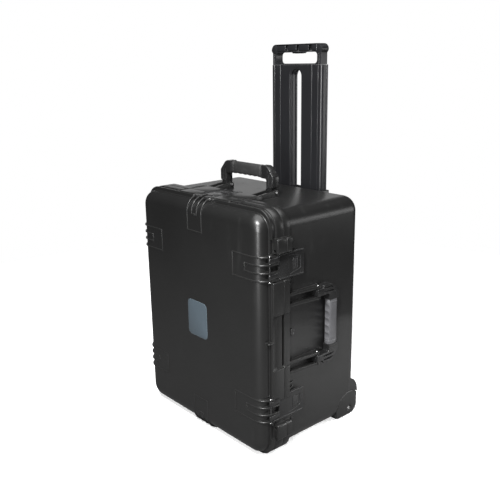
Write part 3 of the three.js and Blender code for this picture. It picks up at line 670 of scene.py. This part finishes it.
def plateau(side, y0, y1, floor=RIM - 3):
    """The raised lands on a rim beside an end latch, with two gussets at each outer end."""
    near, far = LATCH_HALF + 3.5, 100
    shapes = []
    for sign in (1, -1):
        x0, x1 = sorted((sign * near, sign * far))
        shapes.append(block(x0, x1, y0, y1, floor, RIB_TOP - 0.1, 1.5, 3))
        for spot in (far + 6, far + 15):
            top = RIB_TOP - 0.3
            gusset = [(y0, floor), (y0, RIM + 0.6), (min(y0 + 30, y1), top), (y1, top), (y1, floor)]
            shapes.append(slab(gusset, sign * spot - 1.7, sign * spot + 1.7, "x", edge=0.9, steps=2))
    whole = gathered(shapes)
    whole.transform(wall(side, 0))
    return whole


def cheek_outline(grow, past=4):
    """The wheel cheek's side view, with its round grown, and run past the case's back and bottom."""
    r = CHEEK_ROUND + grow
    back, bottom = CHEEK_BACK + past, -past
    top = math.degrees(math.asin(min(1, (back - WHEEL_Y) / r)))
    low = math.degrees(math.asin((WHEEL_Z - bottom) / r))
    corner = arc((back - CHEEK_CORNER, bottom + CHEEK_CORNER), CHEEK_CORNER, -90, 0, 12)
    return corner + arc((WHEEL_Y, WHEEL_Z), r, 90 - top, 180 + low, 30)


def make_base():
    boss = [(120, 2), (120, 104), (164, 104), (172, 96), (180, 85), (184.5, 72), (184.5, 30), (160, 2)]
    rounds = {2: 10, 3: 8, 4: 8, 5: 8}
    bosses = [slab(boss, CHEEK_IN - 8, WIDTH / 2 - 1, "x", rounds)]
    bosses.append(mirrored(bosses[0]))
    body = fuse(shell(base_profile()), bosses)
    inner = [(-EDGE - 6, -100)] + [(-WALL, -100)]
    inner += [(m, d) for m, d in reversed(rounded_edge(-WALL, BACK - WALL, EDGE - WALL, -1))]
    hollow = shell(inner + [(-EDGE - 6, BACK - WALL)])
    body = carve(body, [hollow])
    lining = slab(cheek_outline(WALL), CHEEK_IN - GAP - WALL, WIDTH / 2 - 1, "x")
    linings = gathered([lining, mirrored(lining)])
    skin = [(-EDGE - 6, -60), (-0.5, -60)]
    skin += [(m, d) for m, d in reversed(rounded_edge(-0.5, BACK - 0.5, EDGE - 0.5, -1))]
    body = fuse(body, [within(linings, shell(skin + [(-EDGE - 6, BACK - 0.5)]))])
    well = slab(cheek_outline(2), CHEEK_IN - GAP, WIDTH / 2 + 5, "x")
    tools = [well, mirrored(well)]
    tools += [latch_pocket(name, SEAM - 3, BASE_RIM_BACK + 1) for name in LATCHED]
    tools += knuckle_room(LID_KNUCKLES, 1)
    tools.append(rim_slot(SEAM - 2, -103))
    tools += [eye_hole(eye, SEAM, -80) for eye in EYES]
    body = carve(body, tools)
    shapes = [body]
    shapes += [padlock_eye(eye, SEAM + GAP, -88) for eye in EYES]
    shapes += [rim_block(low, high, SEAM + GAP, -86) for low, high in RIM_BLOCKS]
    shapes += knuckles(BASE_KNUCKLES, 1)
    shapes += [plateau(side, SEAM + GAP, -50, -2) for side in ("top", "bottom")]
    shapes.append(handle_bracket(TOP_PIVOT, "top", 0))
    shapes.append(handle_bracket(SIDE_PIVOT, "right", SIDE_MIDDLE))
    for name in LATCHED:
        side, along, _ = PADS[name]
        place = wall(side, along)
        shapes.append(block(-LATCH_HALF, LATCH_HALF, SEAM + 5, SEAM + 11, -1, 2.4, 0.7, 2, place))
        if side == "right":
            for offset in (-50, -37, 37, 50):
                shapes.append(wedge(side, along + offset, -84, -62, RIM - 0.8))
    return shapes


piece("lid_moulding", "lid", SHELL, make_lid(), ["lid_shell"])
piece("base_moulding", "base", SHELL, make_base(), ["base_shell"])

seal = [(-4.5, SEAM - 3.7), (-1.5, SEAM - 3.7), (-1.5, SEAM - 1), (-2.2, SEAM - GAP), (-3.8, SEAM - GAP),
        (-4.5, SEAM - 1)]


def seal_ring():
    """The lid's seal: a rubber ring in its groove."""
    rings = shell(seal + [seal[0]])
    flat = [f for f in rings.faces if len(f.verts) > 4]
    bmesh.ops.delete(rings, geom=flat, context="FACES_ONLY")
    bmesh.ops.remove_doubles(rings, verts=rings.verts[:], dist=1e-3)
    bmesh.ops.recalc_face_normals(rings, faces=rings.faces[:])
    return rings


piece("lid_seal", "lid", SEAL, [seal_ring()], ["lid_gasket"])

label = label_plate(0, FRONT - 0.4, FRONT + 1 - GAP, 0.3)
piece("label_panel", "lid", LABEL, [label], ["label_plate"])

valve = turned([(0, -5), (5.4, -5), (5.4, 0.4), (8.6, 0.4), (9, 0.9), (9, 2.6), (8.4, 3.4), (7.2, 3.6),
                (6.4, 4.4), (4.2, 4.5), (3.8, 3.6), (0, 3.6)], WIDTH / 2, VALVE_Y, VALVE_Z, 48)
piece("pressure_valve_cap", "base", FITTING, [valve], ["pressure_valve"])

for name in HINGED:
    along = PADS[name][1]
    suffix = name.replace("left", "")
    pin = rod("z", HINGE_PIN, along - 2.5 * STEP, along + 2.5 * STEP, (HINGE_X, SEAM), 0.6)
    node = "hinge_pin" + suffix
    piece("hinge_rod" + suffix, "base", STEEL, [pin], [node])

# ---------------------------------------------------------------- latches


def make_latch(name):
    side, along, _ = PADS[name]
    profile = [
        (LATCH_FRONT, LATCH_UNDER), (-96, LATCH_UNDER), (-93, 2.7), (-87, 2.7), (-85, LATCH_UNDER),
        (-58, LATCH_UNDER), (LATCH_BACK, 7), (LATCH_BACK, 11.6), (-52, LATCH_OVER),
        (LATCH_FRONT, LATCH_OVER),
    ]
    plate = slab(profile, -LATCH_HALF, LATCH_HALF, "x", edge=0.9, steps=3)
    recess = slab([(-24, -88), (24, -88), (15, -50), (-15, -50)], LATCH_OVER - 1.1, 20, "z",
                  {0: 3, 1: 3, 2: 3, 3: 3})
    half = (BUTTON_WIDE / 2 + GAP, BUTTON_LONG / 2 + GAP)
    hole = block(-half[0], half[0], BUTTON_Y - half[1], BUTTON_Y + half[1], 0, 20)
    shapes = [carve(plate, [recess, hole])]
    for sign in (1, -1):
        x0, x1 = sorted((sign * 27.8, sign * 30.6))
        ridge = [(LATCH_FRONT + 1, 8), (LATCH_FRONT + 3, 11.4), (-54, 11.4), (-43, 12), (-43, 8)]
        shapes.append(slab(ridge, x0, x1, "x", {1: 1.5}, 0.8, 2))
        inner = 0.5 * RIB_PITCH + RIB_WIDTH / 2 + 0.8
        outer = 1.5 * RIB_PITCH - RIB_WIDTH / 2 - 0.8
        x0, x1 = sorted((sign * inner, sign * outer))
        arm = arc((PIN_Y, PIN_U), 4.3, 90, 270, 14)
        arm += [(LATCH_FRONT + 2, LATCH_UNDER), (LATCH_FRONT + 2, LATCH_OVER)]
        shapes.append(slab(arm, x0, x1, "x", edge=0.8, steps=2))
    whole = gathered(shapes)
    whole.transform(wall(side, along))
    return whole


def make_button(name):
    side, along, _ = PADS[name]
    x, y = BUTTON_WIDE / 2, BUTTON_LONG / 2
    low, high = LATCH_UNDER + 0.6, LATCH_OVER + 0.1
    shapes = [block(-x, x, BUTTON_Y - y, BUTTON_Y + y, low, high, 0.8, 3)]
    for offset in (-5, 0, 5):
        middle = BUTTON_Y + offset
        shapes.append(block(-x + 4, x - 4, middle - 1, middle + 1, high - 1, high + 0.6, 0.5, 2))
    whole = gathered(shapes)
    whole.transform(wall(side, along))
    return whole


for name in LATCHED:
    side, along, _ = PADS[name]
    piece("latch_lever_" + name, "latch_" + name, FITTING, [make_latch(name)], ["latch_" + name])
    piece("latch_release_" + name, "latch_button_" + name, FITTING, [make_button(name)],
          ["latch_button_" + name])
    pin = rod("x", PIN_R, -PIN_HALF, PIN_HALF, (PIN_Y, PIN_U), 0.5, 24, wall(side, along))
    piece("latch_rod_" + name, "lid", DARK_STEEL, [pin], ["latch_pin_" + name])
    ends = []
    for sign in (1, -1):
        x0, x1 = sorted((sign * (PIN_HALF - 1), sign * (PIN_HALF + 1.4)))
        ends.append(rod("x", PIN_R + 0.9, x0, x1, (PIN_Y, PIN_U), 0.9, 24, wall(side, along)))
    piece("latch_rod_ends_" + name, "lid", STEEL, ends)

# ---------------------------------------------------------------- carrying handles
TOP_PLACE = Matrix.Translation((0, TOP_PIVOT[0], HEIGHT + TOP_PIVOT[1]))
SIDE_PLACE = (
    Matrix.Translation((WIDTH / 2 + SIDE_PIVOT[1], SIDE_PIVOT[0], SIDE_MIDDLE))
    @ Matrix.Rotation(math.pi / 2, 4, "Y")
    @ Matrix.Rotation(-math.pi / 2, 4, "X")
)
UPRIGHT = Matrix.Rotation(math.pi / 2, 4, "X")


def make_handle():
    """A handle standing on its pivots at z = 0, with channelled legs and chamfered shoulders."""
    out, tang, shoulder, half = LEG_OUT + BRACKET_RIB, HUB + 3, 26, THICK / 2
    right = [
        (LEG_IN, -HUB), (LEG_OUT, -HUB), (LEG_OUT, tang), (out, tang + 3), (out, REACH - shoulder),
        (out - 20, REACH - 3), (out - 28, REACH),
    ]
    left = [(-x, z) for x, z in reversed(right)]
    outline = right + left + [(-LEG_IN, REACH - 33), (LEG_IN, REACH - 33)]
    rounds = {4: 3, 5: 3, 8: 3, 9: 3, 14: 5, 15: 5}
    blank = slab(outline, -half, half, "z", rounds, 1.4, 3, UPRIGHT)
    tools = [block(-GRIP_HALF - GAP, GRIP_HALF + GAP, -half - 1, half + 1, 33.6, REACH + 1, 0.6, 2)]
    for sign in (1, -1):
        for face in (1, -1):
            y0, y1 = sorted((face * (half - 4.2), face * (half + 2)))
            for near, far in ((LEG_IN + 4, LEG_IN + 9.5), (LEG_IN + 14, LEG_IN + 20)):
                channel = [(near, 13), (far, 15), (far, 46 - (far - LEG_IN) * 0.35), (near, 56)]
                channel = [(sign * x, z) for x, z in channel]
                tools.append(slab(channel, y0, y1, "z", {0: 1.5, 1: 1.5}, frame=UPRIGHT))
    body = carve(blank, tools)
    core = block(-GRIP_HALF - 4, GRIP_HALF + 4, -5, 5, 43, 57, 1.0)
    tangs = []
    for sign in (1, -1):
        x0, x1 = sorted((sign * LEG_IN, sign * LEG_OUT))
        tangs.append(rod("x", HUB, x0, x1, (0, 0), 0.8, 40))
    return body, core, tangs


def make_grip():
    """A rubber grip with finger hollows below, a crowned back and a collar at each end."""
    half = THICK / 2 - 0.4
    outline = [(-half, 34), (half, 34), (half, 66.5), (-half, 66.5)]
    bar = slab(outline, -GRIP_HALF + 0.2, GRIP_HALF - 0.2, "x", {0: 8.5, 1: 8.5, 2: 9, 3: 9}, 1.2, 3)
    tools = [rod("y", 15, -20, 20, (22, x), 0, 48) for x in (-38, -19, 0, 19, 38)]
    hollow = carve(bar, tools)
    soften(hollow, 1.0, 2, math.radians(24))
    rings = []
    for x in (-52, 52):
        ring = [(-half - 0.4, 33.6), (half + 0.4, 33.6), (half + 0.4, 67), (-half - 0.4, 67)]
        rings.append(slab(ring, x - 2, x + 2, "x", {0: 9, 1: 9, 2: 9.4, 3: 9.4}, 0.9, 3))
    return [hollow] + rings


HANDLES = {
    "top": (TOP_PLACE, DARK_RUBBER, "dark_grip", "top", 0, TOP_PIVOT, {1: "right", -1: "left"}),
    "side": (SIDE_PLACE, GREY_RUBBER, "grip", "right", SIDE_MIDDLE, SIDE_PIVOT, {1: "lower", -1: "upper"}),
}
for name, (place, grip_finish, grip_slot, side, along, pivot, ends) in HANDLES.items():
    body, core, tangs = make_handle()
    whole = gathered([body, core] + tangs)
    whole.transform(place)
    piece(name + "_handle_bow", name + "_handle", FITTING, [whole], [name + "_handle_frame"])
    grip = gathered(make_grip())
    grip.transform(place)
    piece(name + "_handle_rubber", name + "_handle", grip_finish, [grip],
          [name + "_handle_grip"])
    for sign, end in ends.items():
        x0, x1 = sorted((sign * (LEG_IN - BRACKET_RIB - 3.4), sign * (LEG_OUT + BRACKET_RIB + 2.6)))
        pin = rod("x", HANDLE_PIN, x0, x1, pivot, 0.8, 28, wall(side, along))
        piece(f"{name}_handle_rod_{end}", "base", STEEL, [pin], [f"{name}_handle_pin_{end}"])

# ---------------------------------------------------------------- trolley handle
MID_Y = (PANEL_FRONT + PANEL_BACK) / 2


def panel_edge():
    """Half of the panel's cross section, from the middle of its front to the middle of its back."""
    front, back, half = PANEL_FRONT, PANEL_BACK, PANEL_HALF
    grooves = []
    for at, wide in ((58, 1.6), (80, 2.2)):
        floor = front + 1.1
        grooves += [(at, front), (at + 0.5, floor), (at + wide, floor), (at + wide + 0.5, front)]
    side = arc((half - 7, front + 7), 7, -90, 0, 10)
    side += [(half, MID_Y - 2), (half - 2, MID_Y - 1.2), (half - 2, MID_Y + 6.2), (half, MID_Y + 7)]
    side += arc((half - 4, back - 4), 4, 0, 90, 6)
    rear = [(70.5, back), (70, back - 1.1), (32, back - 1.1), (31.5, back)]
    return grooves + side + rear


def make_panel():
    right = panel_edge()
    left = [(-x, y) for x, y in reversed(right)]
    outline = right + left
    blank = slab(outline, FOOT, CAP - GAP, "z", edge=0.0)
    low, high = FOOT + 25, CAP - 10 - SLOT
    slot = arc((high, 0), SLOT, -90, 90, 20) + arc((low, 0), SLOT, 90, 270, 20)
    lip = arc((high, 0), SLOT + 4.5, -90, 90, 20) + arc((low, 0), SLOT + 4.5, 90, 270, 20)
    tools = [
        slab(slot, PANEL_FRONT - 1, PANEL_BACK + 1, "y"),
        slab(lip, PANEL_FRONT - 1, PANEL_FRONT + 1.2, "y"),
        slab(lip, PANEL_FRONT + 4.2, PANEL_FRONT + 8.6, "y"),
        slab(lip, PANEL_BACK - 8.6, PANEL_BACK - 4.2, "y"),
    ]
    for sign in (1, -1):
        x0, x1 = sorted((sign * (PANEL_HALF - 20), sign * (PANEL_HALF + 1)))
        tools.append(rod("x", BOLT_R + GAP, x0, x1, (MID_Y, BOLT_Z)))
    return carve(blank, tools)


def make_loop():
    """The top of the trolley handle: two posts and a grip bar with pockets in its front."""
    half, high = PANEL_HALF, LOOP_HIGH
    right = [(CAP, POST), (high - 2, POST), (high + 4, half), (TOP, half)]
    left = [(z, -x) for z, x in reversed(right)]
    outline = right + left
    blank = slab(outline, PANEL_FRONT + 1, PANEL_BACK - 1, "y", {2: 3, 3: 16, 4: 16, 5: 3}, 2.4, 4)
    hole = [(LOOP_LOW, -LOOP_HALF), (high, -LOOP_HALF), (high, LOOP_HALF), (LOOP_LOW, LOOP_HALF)]
    tools = [slab(hole, PANEL_FRONT - 2, PANEL_BACK + 2, "y", {0: 9, 1: 9, 2: 9, 3: 9})]
    for x0, x1 in ((-72, -39), (-29, 2), (12, 47), (58, 76)):
        tools.append(block(x0, x1, PANEL_FRONT - 1, PANEL_FRONT + 15, high + 3.4, TOP - 3.4, 1.6, 3))
    tools.append(block(-22.3, 22.3, MID_Y - 5, MID_Y + 5, high - 1, TOP - 5))
    for sign in (1, -1):
        x0, x1 = sorted((sign * 79.5, sign * 86.5))
        tools.append(block(x0, x1, PANEL_FRONT - 1, PANEL_FRONT + 4, CAP + 3, high - 2, 1.6, 3))
    body = carve(blank, tools)
    boss = []
    for sign in (1, -1):
        at = (TOP - 13, sign * (half - 13.5))
        boss.append(rod("y", 10.5, PANEL_FRONT + 0.2, PANEL_FRONT + 4, at, 0.9, 40))
        boss.append(rod("y", 6.0, PANEL_FRONT - 0.0, PANEL_FRONT + 4, at, 0.8, 32))
    return [body] + boss


piece("trolley_channel", "trolley", GRAPHITE, [make_panel()], ["trolley_panel"], bevel=0.35)
piece("trolley_bow", "trolley", GRAPHITE, make_loop(), ["trolley_loop"])

under = LOOP_HIGH - 3
trigger = [block(-22, 22, MID_Y - 4.5, MID_Y + 4.5, under, TOP - 10, 1.4, 3)]
for x in (-12, -6, 0, 6, 12):
    trigger.append(block(x - 1.2, x + 1.2, MID_Y - 3.6, MID_Y + 3.6, under - 0.5, under + 2, 0.5))
piece("trolley_release", "trolley_trigger", FITTING, trigger, ["trolley_trigger"])

for name, sign in (("right", 1), ("left", -1)):
    x0, x1 = sorted((sign * (PANEL_HALF - 14.2), sign * (PANEL_HALF - 0.2)))
    bolt = rod("x", BOLT_R, x0, x1, (MID_Y, BOLT_Z), 0.8, 28)
    piece("lock_plunger_" + name, "trolley_lock_bolt_" + name, STEEL, [bolt],
          ["trolley_lock_bolt_" + name])

SCREW_X = PANEL_HALF + 1 + GUIDE_WALL + FLANGE / 2
SCREWS = [(x, z) for z in (GUIDE_HIGH - 40, GUIDE_LOW + 40) for x in (-SCREW_X, SCREW_X)]


def make_guide():
    """The channel on the back that the trolley handle runs in, with two screwed flanges."""
    inside = PANEL_HALF + 1
    outside, back, front = inside + GUIDE_WALL, PANEL_BACK + 0.8, BACK + GAP
    channel = block(-outside, outside, front, back + GUIDE_WALL, GUIDE_LOW, GUIDE_HIGH, 1.6, 3)
    tools = [block(-inside, inside, front - 3, back, GUIDE_LOW + GUIDE_WALL, GUIDE_HIGH + 3)]
    for x in (-66, -22, 22, 66):
        tools.append(block(x - 15, x + 15, back + GUIDE_WALL - 0.9, back + 9,
                           GUIDE_LOW + 22, GUIDE_HIGH - 26, 2.2, 3))
    shapes = [carve(channel, tools)]
    for sign in (1, -1):
        x0, x1 = sorted((sign * (outside - 1), sign * (outside + FLANGE)))
        shapes.append(block(x0, x1, front, front + PLATE, GUIDE_LOW, GUIDE_HIGH, 1.2, 3))
    return shapes


def make_screw(x, z):
    seat = BACK + GAP + PLATE
    head = rod("y", 4.6, seat + GAP, seat + 3, (z, x), 0.9, 32)
    socket = rod("y", 2.2, seat + 1.2, seat + 4, (z, x), 0, 6)
    return [rod("y", 2, BACK - WALL + 0.5, seat + 1, (z, x), 0.3, 20), carve(head, [socket])]


piece("trolley_track", "base", FITTING, make_guide(), ["trolley_guide"])
for n, (x, z) in enumerate(SCREWS, 1):
    piece(f"track_screw_{n}", "base", STEEL, make_screw(x, z), [f"guide_screw_{n}"])

# ---------------------------------------------------------------- wheels


def make_cheeks(sign):
    filler = slab(cheek_outline(1.7, 0), CHEEK_IN, CHEEK_OUT - 5, "x")
    blank = fuse(slab(cheek_outline(0, 0), CHEEK_IN, CHEEK_OUT, "x", edge=1.6, steps=3), [filler])
    s0, s1 = WHEEL_X - WHEEL_SLOT, WHEEL_X + WHEEL_SLOT
    tools = [
        rod("x", CAVITY, s0, s1, (WHEEL_Y, WHEEL_Z), 0, 64),
        block(s0, s1, WHEEL_Y - CAVITY, CHEEK_BACK + 5, -20, WHEEL_Z),
        block(s0, s1, WHEEL_Y, CHEEK_BACK + 5, WHEEL_Z - 5, WHEEL_Z + CAVITY - 12),
        rod("x", 9, CHEEK_OUT - 2, CHEEK_OUT + 3, (WHEEL_Y, WHEEL_Z), 0.8, 40),
    ]
    body = carve(blank, tools)
    lip = turned([(9.2, -2.4), (9.2, 0.1), (9.8, 0.4), (10.8, 0.4), (11.4, 0), (11.4, -2.4)],
                 CHEEK_OUT - 0.4, WHEEL_Y, WHEEL_Z, 48)
    whole = gathered([body, lip])
    return whole if sign > 0 else mirrored(whole)


def make_tyre():
    """A tyre with rounded shoulders and three grooves."""
    half, r = WHEEL_HALF, WHEEL_R
    tread = [(r, -7.4), (r - 1.4, -7), (r - 1.4, -5.6), (r, -5.2), (r, -1), (r - 1.4, -0.6), (r - 1.4, 0.6),
             (r, 1), (r, 5.2), (r - 1.4, 5.6), (r - 1.4, 7), (r, 7.4)]
    near = [(WHEEL_HUB, -half), (r - 4.5, -half), (r - 2, -half + 0.8), (r - 0.5, -half + 2.4)]
    far = [(radius, -place) for radius, place in reversed(near)]
    return near + tread + far


def make_hub():
    """A dished hub with a thick rim and a boss for the bearings."""
    half, rim = WHEEL_HALF, WHEEL_HUB - GAP
    near = [(9, -half + 7), (11.3, -half + 7), (11.3, -half + 1), (13.4, -half + 1), (14, -half + 2.2),
            (14, -5.5), (17.4, -5.5), (17.8, -half + 1.6), (rim - 0.4, -half + 1), (rim, -half + 1.6)]
    far = [(radius, -place) for radius, place in reversed(near)]
    return near + far


for name, sign in (("right", 1), ("left", -1)):
    x = sign * WHEEL_X
    piece("wheel_cheeks_" + name, "base", SHELL, [make_cheeks(sign)], ["wheel_housing_" + name],
          bevel=0.5)
    piece("wheel_tread_" + name, "wheel_" + name, TYRE,
          [turned(make_tyre(), x, WHEEL_Y, WHEEL_Z, 72)], ["wheel_tyre_" + name])
    piece("wheel_centre_" + name, "wheel_" + name, FITTING,
          [turned(make_hub(), x, WHEEL_Y, WHEEL_Z, 64)], ["wheel_hub_" + name])
    x0, x1 = sorted((sign * (CHEEK_IN + 1), sign * (CHEEK_OUT - 0.6)))
    axle = rod("x", AXLE, x0, x1, (WHEEL_Y, WHEEL_Z), 0.9, 36)
    piece("wheel_spindle_" + name, "base", STEEL, [axle], ["wheel_axle_" + name])
    for place in ("outer", "inner"):
        bearing = frame["nodes"][f"wheel_bearing_{place}_{name}"]
        bearing.data.materials.clear()
        bearing.data.materials.append(STEEL)

# ---------------------------------------------------------------- floor, light and camera
FLOOR_GLOW, FLOOR_FELT = 0.46, 0.14


def paper():
    """Pale studio paper, nearly even, that throws little light back at the case."""
    finish = Finish("studio_paper", Roughness=0.95, Specular_IOR_Level=0.0, Emission_Strength=FLOOR_GLOW)
    finish.shader.inputs["Emission Color"].default_value = shade(1)
    finish.feed("Base Color", finish.mix(finish.noise(3.0, 2.0), shade(0.90), shade(0.93)))
    dim = finish.node("ShaderNodeBsdfDiffuse", None, {"Color": shade(FLOOR_FELT)})
    seen = finish.node("ShaderNodeLightPath", output="Is Camera Ray")
    bright = Term(finish, finish.shader.outputs[0])
    mixed = finish.node("ShaderNodeMixShader", None, {0: seen, 1: dim, 2: bright})
    finish.tree.links.new(mixed.socket, finish.tree.nodes["Material Output"].inputs["Surface"])
    return finish.material


def make_floor():
    bm = bmesh.new()
    bmesh.ops.create_circle(bm, cap_ends=True, radius=1.9, segments=96)
    mesh = bpy.data.meshes.new("studio_floor")
    bm.to_mesh(mesh)
    bm.free()
    mesh.materials.append(paper())
    floor = bpy.data.objects.new("studio_floor", mesh)
    bpy.context.scene.collection.objects.link(floor)


def softbox(name, place, aim, size, power, colour=(1, 1, 1)):
    light = bpy.data.lights.new(name, "AREA")
    light.shape = "RECTANGLE"
    light.size, light.size_y = size
    light.energy = power
    light.color = colour
    lamp = bpy.data.objects.new(name, light)
    lamp.location = place
    lamp.rotation_euler = (Vector(aim) - Vector(place)).to_track_quat("-Z", "Y").to_euler()
    lamp.visible_camera = False
    bpy.context.scene.collection.objects.link(lamp)


def make_world():
    world = bpy.data.worlds.new("studio_air")
    world.use_nodes = True
    nodes, links = world.node_tree.nodes, world.node_tree.links
    seen, felt = nodes["Background"], nodes.new("ShaderNodeBackground")
    seen.inputs["Color"].default_value = shade(1)
    felt.inputs["Color"].default_value = (0.95, 0.97, 1, 1)
    seen.inputs["Strength"].default_value = 1.0
    felt.inputs["Strength"].default_value = 0.03
    mixed, path = nodes.new("ShaderNodeMixShader"), nodes.new("ShaderNodeLightPath")
    links.new(path.outputs["Is Camera Ray"], mixed.inputs[0])
    links.new(felt.outputs[0], mixed.inputs[1])
    links.new(seen.outputs[0], mixed.inputs[2])
    links.new(mixed.outputs[0], nodes["World Output"].inputs["Surface"])
    bpy.context.scene.world = world


def make_camera():
    yaw, pitch, roll = -0.853, -0.272, -0.015
    ahead = Vector((math.sin(yaw) * math.cos(pitch), math.cos(yaw) * math.cos(pitch), math.sin(pitch)))
    across = ahead.cross(Vector((0, 0, 1))).normalized()
    up = across.cross(ahead)
    right = across * math.cos(roll) + up * math.sin(roll)
    top = up * math.cos(roll) - across * math.sin(roll)
    turn = Matrix((right, top, -ahead)).transposed().to_4x4()
    data = bpy.data.cameras.new("view")
    data.lens = 48.69
    data.sensor_width = 36
    camera = bpy.data.objects.new("view", data)
    camera.matrix_world = Matrix.Translation(TO_MODEL @ Vector((1317.79, -1141.81, 935.32))) @ turn
    bpy.context.scene.collection.objects.link(camera)
    bpy.context.scene.camera = camera


make_floor()
make_world()
make_camera()
softbox("overhead", (0.3, 0.1, 2.7), (0, 0, 0.4), (2.2, 2.2), 56)
softbox("back", (-2.3, 2.1, 1.25), (0, 0, 0.5), (2.6, 1.1), 7)
softbox("back_right", (1.40, 1.75, 0.70), (0, 0.18, 0.70), (0.45, 0.6), 4)
softbox("side_low", (0.62, 0.36, 0.20), (0.58, 0.33, 0), (0.5, 0.5), 5)
softbox("front_strip", (1.22, -1.68, 0.85), (0.2, -0.15, 0.45), (0.30, 1.2), 44)
softbox("key", (1.05, -1.45, 2.3), (0.15, -0.1, 0.5), (0.22, 0.22), 120)
bpy.context.scene.view_settings.view_transform = "Standard"
